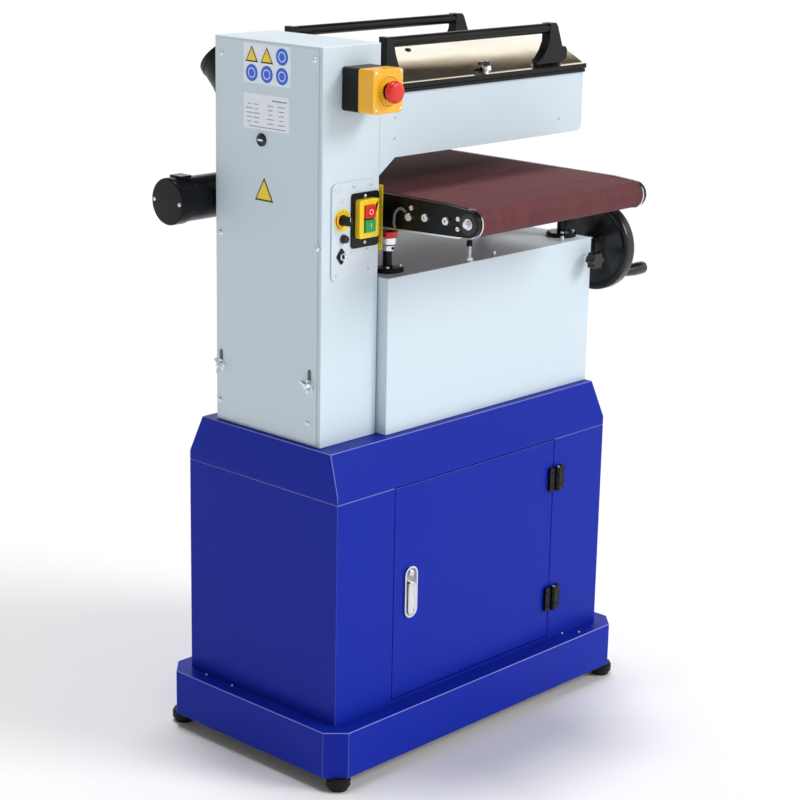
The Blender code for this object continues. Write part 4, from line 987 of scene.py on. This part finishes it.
def frame_shell(outer, inner, x0, x1):
    """The hood: an arched skin with both ends closed, open below."""
    bm = bmesh.new()

    def line(points, x):
        return [bm.verts.new((x, y, z)) for y, z in points]

    out_a, out_b = line(outer, x0), line(outer, x1)
    in_a, in_b = line(inner, x0 + HOOD_SHEET), line(inner, x1 - HOOD_SHEET)
    for a, b in ((out_a, out_b), (in_b, in_a)):
        for i in range(len(a) - 1):
            bm.faces.new((a[i], a[i + 1], b[i + 1], b[i]))
    for loop in (out_a, out_b, in_a, in_b):
        bm.faces.new(loop)
    for i in (0, -1):
        bm.faces.new((out_a[i], out_b[i], in_b[i], in_a[i]))
    for out, inside in ((out_a, in_a), (out_b, in_b)):
        bm.faces.new((out[0], inside[0], inside[-1], out[-1]))
    return bm


def bars(side, y):
    """A black lifting bar on two moulded brackets."""
    node = f"{side}_handle"
    bar_z, left, right = 1.267, -0.182, 0.256
    bar = turned(left, (-5.8, 7.2), (-4, 9), (441, 9), (442.8, 7.2))
    add(f"{node}_bar", lathe(bar, "X", (y, bar_z), 64), "black_paint", "hood", [node])
    low, top = hood_height(y) - 0.0015, bar_z + 0.0094
    near = [
        (left - 0.006, low), (left + 0.034, low), (left + 0.030, low + 0.008),
        (left + 0.016, top - 0.030), (left + 0.009, top - 0.004), (left + 0.005, top),
        (left - 0.006, top),
    ]
    far = [
        (right - 0.054, low), (right + 0.020, low), (right + 0.034, low + 0.007),
        (right + 0.035, low + 0.022), (right + 0.030, low + 0.028), (right + 0.021, low + 0.028),
        (right + 0.006, top - 0.006), (right + 0.001, top), (right - 0.016, top),
        (right - 0.016, low + 0.040), (right - 0.024, low + 0.024), (right - 0.036, low + 0.010),
    ]
    for end, outline in (("left", near), ("right", far)):
        bracket = soften(prism(outline, "Y", y - 0.0095, y + 0.0095), 0.0026, 4)
        add(f"{node}_{end}_bracket", bracket, "black_plastic", "hood")
    spots = [(left + 0.026, y, low + 0.009), (right + 0.026, y, low + 0.0275)]
    hardware(f"{node}_screws", socket_head, 0.0034, spots, UP, "black_gloss", "hood")


def latch():
    x, y, z = 0.0786, -0.108, 1.2125
    wing = [*arc((x, y), 0.0062, -70, 70, 10), *arc((x - 0.0170, y), 0.0034, 110, 250, 10)]
    body = soften(prism(wing, "Z", z + 0.0002, z + 0.0062), 0.0012, 4)
    post = lathe(turned(z, (-1.5, 5.8), (1, 5.8)), "Z", (x, y), 40)
    add("hood_latch_wing", joined(body, post), "black_gloss", "latch", ["hood_latch"])
    spot = [(x, y, z + 0.0060)]
    hardware("hood_latch_screw", slotted_head, 0.0034, spot, UP, "zinc", "latch")
    seat = turned(1.203, (0, 9.5), (5.5, 9), (7.4, 7.8))
    add("hood_latch_seat", lathe(seat, "Z", (x, y), 48), "zinc", "hood")


def drum():
    sleeve = bored(
        -0.178, (0, 13), (0, 58), (1.5, 60), (13, 60), (13, 62.2), (14, 63.5), (404, 63.5),
        (405, 62.2), (405, 60), (416.5, 60), (418, 58), (418, 13)
    )
    body = lathe(sleeve, "X", DRUM_AXIS, 128)
    add("drum_sleeve", body, "drum_abrasive", "drum", ["sanding_drum"])
    steps = ((0, 13.1), (0, 59), (2, 60.4), (12.5, 60.4), (12.5, 59), (2, 56), (2, 13.1))
    for side, x, out in (("left", -0.1785, 1), ("right", 0.2405, -1)):
        cap = bored(x, *((out * step, radius) for step, radius in steps))
        add(f"drum_cap_{side}", lathe(cap, "X", DRUM_AXIS, 96), "machined_steel", "drum")
    dress("machined_steel", "drum_shaft", "drum_pulley", "motor_pulley", "bed_plate")
    dress("rubber", "infeed_pressure_roller", "outfeed_pressure_roller", "drive_belt")
    refine("main_motor", "black_paint", 0.0020, 3)


def dust_port():
    """A square foot that swells into a round pipe, sloping up and back at 45 degrees."""
    sides, lean = 96, math.sqrt(0.5)
    px, mouth_z = -0.150, 1.132

    def along(t, radius):
        """A ring on the pipe, from the neck at 0 to the end at 1."""
        y, z = 0.237 + 0.089 * t, 1.117 + 0.089 * t
        return [
            Vector((px + radius * c, y - radius * s * lean, z + radius * s * lean))
            for c, s in circle(sides, 0.5)
        ]

    def mouth(y, inset):
        half_x, half_z = 0.054 - inset, 0.048 - inset
        square = [(c / max(abs(c), abs(s)), s / max(abs(c), abs(s))) for c, s in circle(sides, 0.5)]
        return [Vector((px + half_x * c, y, mouth_z + half_z * s)) for c, s in square]

    def mixed(t, inset, radius):
        return [a.lerp(b, t) for a, b in zip(mouth(0.1453, inset), along(0.0, radius))]

    rings = [mouth(0.1353, 0.0), mouth(0.1403, 0.0), mouth(0.1413, 0.0060), mouth(0.1453, 0.0062)]
    rings += [mixed(t / 8, 0.0062, 0.0482) for t in range(1, 8)]
    pipe = (
        (0.0, 48.4), (0.55, 48.4), (0.56, 49.2), (0.60, 49.2), (0.61, 48.4), (0.90, 48.4),
        (0.915, 50), (0.99, 50), (1.0, 49.4), (1.0, 47), (0.0, 46),
    )
    rings += [along(t, radius / 1000) for t, radius in pipe]
    rings += [mixed(t / 8, 0.0090, 0.0460) for t in range(7, 0, -1)]
    rings.append(mouth(0.1353, 0.0090))
    add("dust_port_moulding", skin(rings, closed=True), "black_plastic", replaces=["dust_port"])
    spots = [(px + dx, 0.1405, mouth_z + dz) for dx in (-0.0505, 0.0505) for dz in (-0.0445, 0.0445)]
    hardware("dust_port_screws", pan_head, 0.0026, spots, BACK)


# --- conveyor table ---
def conveyor_outline(radius):
    """A loop round the conveyor: flat on top, then sloping to the smaller front roller."""
    tight = radius - NOSE_SMALLER
    rear = arc(REAR_ROLLER, radius, -90, 90, 48)
    front = arc(FRONT_ROLLER, tight, NOSE_TURN, 270, 48)
    bend = [(NOSE_Y + a, REAR_ROLLER[1] + radius - b) for a, b in BEND]
    return [*rear, *bend, *front]


def conveyor():
    outer, inner = conveyor_outline(BELT_OUTSIDE), conveyor_outline(BELT_INSIDE)
    belt = soften(frame_of(outer, inner, "X", -0.180, 0.250), 0.0006, 2, 50)
    add("conveyor_loop", belt, "abrasive", "table", ["conveyor_belt"])
    seam()
    for name, axis, r, body in (
        ("idler_roller", FRONT_ROLLER, 20.4, "front_belt_roller"),
        ("drive_roller", REAR_ROLLER, 26.4, "rear_belt_roller"),
    ):
        core = turned(
            -0.192, (0, 7), (0.8, 8), (12.5, 8), (12.5, r - 1.4), (13.5, r), (440.5, r),
            (441.5, r - 1.4), (441.5, 8), (453.2, 8), (454, 7)
        )
        add(f"{name}_core", lathe(core, "X", axis, 96), "machined_steel", body, [name])
    for side, start in (("left", -0.1836), ("right", 0.2504)):
        flange = bored(start, (0, 8.5), (0, 23.9), (0.8, 24.7), (2.4, 24.7), (3.2, 23.9), (3.2, 8.5))
        ring = lathe(flange, "X", FRONT_ROLLER, 96)
        add(f"roller_flange_{side}", ring, "chrome", "front_belt_roller")
    for node in ("side_plate_left", "side_plate_right", "table_frame"):
        refine(node, "black_paint", 0.0012, 3)
    side_bolts()
    gear_motor()


def seam():
    """The belt's splice: a fine slanting line over its top."""
    start, end = Vector((-0.1795, -0.205)), Vector((0.2495, -0.060))
    along = end - start
    side = Vector((-along.y, along.x)).normalized() * 0.0009
    corners = [start - side, end - side, end + side, start + side]
    z = REAR_ROLLER[1] + BELT_OUTSIDE
    strip = prism([tuple(corner) for corner in corners], "Z", z - 0.0002, z + 0.00015)
    add("conveyor_splice", strip, "drum_abrasive", "table")


def side_bolts():
    for side, x, facing in (("left", -0.1921, LEFT), ("right", 0.2621, RIGHT)):
        big = ((-0.1825, 0.9836), (-0.2200, 0.9876), (-0.2665, 0.9886), (0.02, 0.9866), (0.075, 0.9866))
        small = ((-0.2925, 0.9955), (-0.2925, 0.9788), (-0.1873, 0.9998))
        for name, radius, spots in (("bolts", 0.0066, big), ("screws", 0.0040, small)):
            places = [(x, *spot) for spot in spots]
            hardware(f"side_{name}_{side}", socket_head, radius, places, facing, body="table")
        axle = placed(hex_head(0.0066, 0.0055), (x, *FRONT_ROLLER), facing, 15)
        add(f"axle_nut_{side}", axle, "zinc", "table")
        out = 0.8 * facing.x
        boss = lathe(bored(x, (0, 7), (0, 18.6), (out, 18), (out, 7)), "X", FRONT_ROLLER, 96)
        add(f"axle_boss_{side}", boss, "black_gloss", "table")
    lips = [soften(prism(LIP, "X", x, x + 0.0093), 0.0004, 2) for x in (-0.1935, 0.2542)]
    add("side_plate_lips", joined(*lips), "zinc", "table")
    cable = curve_through(
        [(-0.1925, -0.1500, 0.9600), (-0.1955, -0.1500, 0.9660), (-0.1960, -0.1505, 0.9778),
         (-0.1960, -0.1531, 0.9877), (-0.1960, -0.1594, 0.9940), (-0.1960, -0.1654, 0.9959),
         (-0.1950, -0.1705, 0.9942), (-0.1915, -0.1730, 0.9910)]
    )
    add("side_cable", sweep(cable, 0.0024), "cable_grey", "table")


def gear_motor():
    y, z = REAR_ROLLER
    start, end = -0.417, -0.262
    can = turned(
        start, (0, 38), (1, 40), (2.8, 41), (26, 41), (27.2, 40.4), (27.8, 38.6), (131, 38.6),
        (131.8, 40), (132.6, 40.6), (155, 40.6)
    )
    case = [
        lathe(can, "X", (y, z), 112),
        soften(prism(around((y, z), (0.0405, 0.038), 0.010), "X", end - 0.0005, -0.1927), 0.0020, 3),
        soften(block((-0.397, 0.164, 1.015), (-0.375, 0.190, 1.0275)), 0.0025, 4),
        soften(block((-0.3985, 0.163, 1.0260), (-0.3740, 0.191, 1.0302)), 0.0012, 3),
    ]
    add("gear_motor_case", joined(*case), "black_paint", "table", ["gear_motor"])
    ends = [(start, y + side * 0.0325, z + side * 0.001) for side in (-1, 1)]
    corners = [(-0.2626, y + dy, z + dz) for dy in (-0.033, 0.033) for dz in (-0.031, 0.031)]
    lid = [(x, y0, 1.0302) for x in (-0.3950, -0.3775) for y0 in (0.1665, 0.1875)]
    hardware("gear_motor_end_screws", pan_head, 0.0036, ends, LEFT, body="table")
    hardware("gearbox_screws", socket_head, 0.0034, corners, LEFT, body="table")
    hardware("terminal_box_screws", pan_head, 0.0020, lid, UP, body="table")


# --- controls ---
def dial_marks(centre, face, turns, low, high):
    """Radial marks on a face that looks to the front."""
    marks = [placed(block(low, high), (0, 0, 0), UP, turn) for turn in turns]
    return [placed(mark, (centre[0], face, centre[1]), FRONT) for mark in marks]


def emergency_stop():
    refine("estop_base", "black_plastic", 0.0016, 3)
    refine("estop_housing", "yellow_plastic", 0.0016, 3)
    x, z = ESTOP_MIDDLE
    face = ESTOP_FACE

    def spun(*steps, sides=96):
        return lathe(bored(face, *steps), "Y", ESTOP_MIDDLE, sides)

    corners = [(x + dx, face, z + dz) for dx in (-0.0290, 0.0290) for dz in (-0.0300, 0.0300)]
    hardware("estop_screws", pan_head, 0.0030, corners, FRONT)
    disc = spun((0, 10.5), (0, 26.2), (-0.6, 26.8), (-1.4, 26.2), (-1.4, 10.5))
    add("estop_disc", disc, "switch_yellow")
    turns = [15.0 * i for i in range(24)]
    marks = dial_marks(ESTOP_MIDDLE, face - 0.0014, turns, (-0.0006, 0.0190, 0), (0.0006, 0.0228, 0.0002))
    ring = spun((-1.4, 23.2), (-1.4, 25.2), (-1.7, 25.2), (-1.7, 23.2))
    add("estop_disc_marks", joined(ring, *marks), "label_orange")
    collar = spun((-1.4, 9.8), (-1.4, 14.2), (-1.9, 13.6), (-1.9, 9.8), sides=64)
    add("estop_collar", collar, "black_gloss")
    mushroom = spun(
        (8, 0), (8, 9), (-7.4, 9), (-7.8, 14), (-8.6, 16.8), (-10.2, 18), (-12, 18.4), (-15.8, 18.3),
        (-18.3, 17.8), (-20.4, 16.4), (-21.8, 14.4), (-22.7, 11.2), (-23.2, 6), (-23.4, 0)
    )
    add("estop_mushroom", mushroom, "red_plastic", "emergency_button", ["estop_button"], smooth=50)


def control_panel():
    refine("control_panel", "silver_panel", 0.0006, 3)
    y = PANEL_FRONT
    spots = [
        (-0.3110, 1.0350), (-0.2715, 1.0375), (-0.2294, 1.0370), (-0.2985, 1.0156),
        (-0.2740, 0.9243), (-0.2374, 0.9249), (-0.2345, 0.8900), (-0.3102, 0.8900),
    ]
    hardware("panel_screws", pan_head, 0.0033, [(x, y, z) for x, z in spots], FRONT)
    switch(y)
    speed_dial(y)
    x, z = -0.295, 0.9512
    fuse = turned(y, (0, 7.8), (-2, 7.8), (-2.6, 7), (-8, 6.2), (-8.8, 5.4))
    groove = block((x - 0.0050, y - 0.02, z - 0.0006), (x + 0.0050, y - 0.0078, z + 0.0006))
    add("fuse_holder", carved(lathe(fuse, "Y", (x, z), 56), groove), "black_gloss")
    socket(y)


def switch(y):
    """The black plate, the yellow housing and its two keys."""
    outline = round_rectangle((-0.2780, 0.932), (-0.2130, 1.025), 0.006)
    hole = round_rectangle((-0.2695, 0.9495), (-0.2245, 1.0140), 0.003)
    rim = soften(frame_of(outline, hole, "Y", y - 0.0030, y), 0.0008, 3)
    add("switch_plate", rim, "black_plastic")
    spots = [(SWITCH_MIDDLE_X, y - 0.0030, z) for z in (0.9405, 1.0190)]
    hardware("switch_plate_screws", pan_head, 0.0030, spots, FRONT)
    refine("switch_housing", "switch_yellow", 0.0012, 3)
    for key, look in (("stop", "red_plastic"), ("start", "green_plastic")):
        node = f"{key}_button"
        refine(node, look, 0.0014, 4)
        middle, half = centre_of(node)
        x, front, z = middle.x, middle.y - half.y, middle.z
        if key == "start":
            mark = block((x - 0.0006, front - 0.0002, z - 0.0042), (x + 0.0006, front, z + 0.0042))
        else:
            ring = bored(front, (0, 3.6), (-0.2, 3.6), (-0.2, 4.6), (0, 4.6))
            mark = lathe(ring, "Y", (x, z), 40)
        add(f"{node}_mark", mark, "label_white", f"{key}_key")


def speed_dial(y):
    x, z = SPEED_XZ
    disc = lathe(turned(y, (0, 18.6), (-0.8, 19), (-1.2, 18.4)), "Y", SPEED_XZ, 96)
    hollow = block((x - 0.0095, y - 0.01, z - 0.0095), (x + 0.0095, y - 0.0008, z + 0.0095))
    add("speed_disc", carved(disc, hollow), "label_yellow")
    wedge = []
    for i in range(24):
        turns = [math.radians(150 + 4.2 * k) for k in (i, i, i + 1, i + 1)]
        outside = 0.0145 + 0.0034 * (1 - i / 30)
        ring = [
            (x + r * math.cos(a), z + r * math.sin(a))
            for r, a in zip((0.0145, outside, outside, 0.0145), turns)
        ]
        wedge.append(prism(ring, "Y", y - 0.0015, y - 0.0011))
    add("speed_disc_wedge", joined(*wedge), "red_plastic")
    turns = [225 - 27 * i for i in range(11)]
    ticks = dial_marks(SPEED_XZ, y - 0.0013, turns, (0.0128, -0.0004, 0), (0.0165, 0.0004, 0.0002))
    add("speed_disc_ticks", joined(*ticks), "label_black")
    back, end = -0.1281, -0.1466
    profile = turned(
        back, (0, 9.2), (-0.6, 9.5), (-3, 9.3), (-4, 8.6), (-15.5, 8), (-17.7, 7.5), (-18.5, 6.4)
    )
    cut = turned(back, (-5.5, 0.8), (-28.5, 0.8))
    grooves = [lathe(cut, "Y", (x + 0.0090 * c, z + 0.0090 * s), 12) for c, s in circle(18)]
    knob = carved(lathe(profile, "Y", SPEED_XZ, 96), joined(*grooves))
    add("speed_knob_body", knob, "black_plastic", "speed_dial", ["speed_knob"])
    line = block((x - 0.0005, end - 0.0002, z), (x + 0.0005, end + 0.0001, z + 0.0066))
    add("speed_knob_line", line, "label_white", "speed_dial")


def socket(y):
    """A round connector in a diamond flange."""
    x, z = at = (-0.2997, 0.9222)
    across, up = 0.0080, 0.0105
    points = []
    for dx, dz, start in ((across, 0, -50), (0, up, 40), (-across, 0, 130), (0, -up, 220)):
        points += arc((x + dx, z + dz), 0.003, start, start + 100, 6)
    flange = soften(prism(points, "Y", y - 0.0016, y), 0.0004, 2)
    add("socket_flange", flange, "black_plastic")
    ring = bored(y, (-1.4, 3.4), (-1.4, 6.6), (-6, 6.6), (-6.6, 6), (-6.6, 4.6), (-4, 3.4))
    add("socket_ring", lathe(ring, "Y", at, 48), "chrome")
    add("socket_core", lathe(turned(y, (-1.4, 3.5), (-3, 3.5)), "Y", at, 40), "dark_hole")


# --- studio ---
def dress(look, *nodes):
    """Gives CAD nodes that stay as they are a finish."""
    for node in nodes:
        materials = frame["nodes"][node].data.materials
        materials.clear()
        materials.append(LOOKS[look])


def studio():
    bm = bmesh.new()
    bmesh.ops.create_grid(bm, x_segments=2, y_segments=2, size=45.0)
    floor = scratch(bm, "studio_floor")
    finish = Finish("floor_paint", linear(250, 250, 251), 0.75, specular=0.2)
    finish.gloss(finish.noise(2.0, 3.0), 0.7, 0.85)
    floor.data.materials.append(finish.material)
    light("key", (0.42, -0.72, 0.55), 1.36, 24.0)
    light("overhead", (0.05, 0.10, 1.0), 1.60, 14.0)
    world()
    camera()
    bpy.context.scene.view_settings.view_transform = "Standard"


def light(name, towards, strength, softness):
    """A broad, even light from one direction."""
    data = bpy.data.lights.new(name, "SUN")
    data.energy = strength
    data.angle = math.radians(softness)
    lamp = bpy.data.objects.new(name, data)
    lamp.rotation_euler = Vector(towards).to_track_quat("Z", "Y").to_euler()
    lamp.location = MIDDLE + 3.0 * Vector(towards)
    bpy.context.scene.collection.objects.link(lamp)


def world():
    """Bright round the horizon, dimmer on the left, and dark overhead for the polished hood to show."""
    sky = bpy.data.worlds.new("studio_sky")
    bpy.context.scene.world = sky
    sky.use_nodes = True
    nodes = sky.node_tree.nodes
    place = nodes.new("ShaderNodeTexCoord").outputs["Generated"]
    split = feed(nodes.new("ShaderNodeSeparateXYZ"), Vector=place).outputs
    height = feed(nodes.new("ShaderNodeValToRGB"), Fac=split["Z"])
    across = feed(
        nodes.new("ShaderNodeMapRange"), Value=split["X"], From_Min=-0.75, From_Max=0.2,
        To_Min=0.48, To_Max=1.12,
    )
    stops = height.color_ramp.elements
    stops[0].color = (1.0, 1.0, 1.0, 1.0)
    stops[1].color = (0.30, 0.30, 0.31, 1.0)
    for position, *colour in SKY:
        stops.new(position).color = (*colour, 1.0)
    feed(nodes["Background"], Color=height.outputs["Color"], Strength=across.outputs["Result"])


def camera():
    yaw, pitch, roll = -0.8204, -0.2713, 0.0192
    level = math.cos(pitch)
    ahead = Vector((-math.sin(yaw) * level, math.cos(yaw) * level, math.sin(pitch)))
    right = Vector((math.cos(yaw), math.sin(yaw), 0.0))
    up = right.cross(ahead)
    side = math.cos(roll) * right + math.sin(roll) * up
    top = -math.sin(roll) * right + math.cos(roll) * up
    data = bpy.data.cameras.new("camera")
    data.lens = 93.88
    data.sensor_width = 36.0
    data.clip_end = 200.0
    view = bpy.data.objects.new("camera", data)
    turn = Matrix((side, top, -ahead)).transposed().to_4x4()
    view.matrix_world = Matrix.Translation(MIDDLE + Vector((-2.7282, -2.5326, 1.626))) @ turn
    bpy.context.scene.collection.objects.link(view)
    bpy.context.scene.camera = view


for leftover in list(bpy.data.objects):
    bpy.data.objects.remove(leftover, do_unlink=True)
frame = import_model()
plinth_low, plinth_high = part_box("base_plinth")
MIDDLE = (plinth_low + plinth_high) / 2
MIDDLE.z = 0.0
base()
door()
column()
lower_box()
handwheel()
lock_knob()
arm()
hood()
drum()
dust_port()
conveyor()
emergency_stop()
control_panel()
studio()
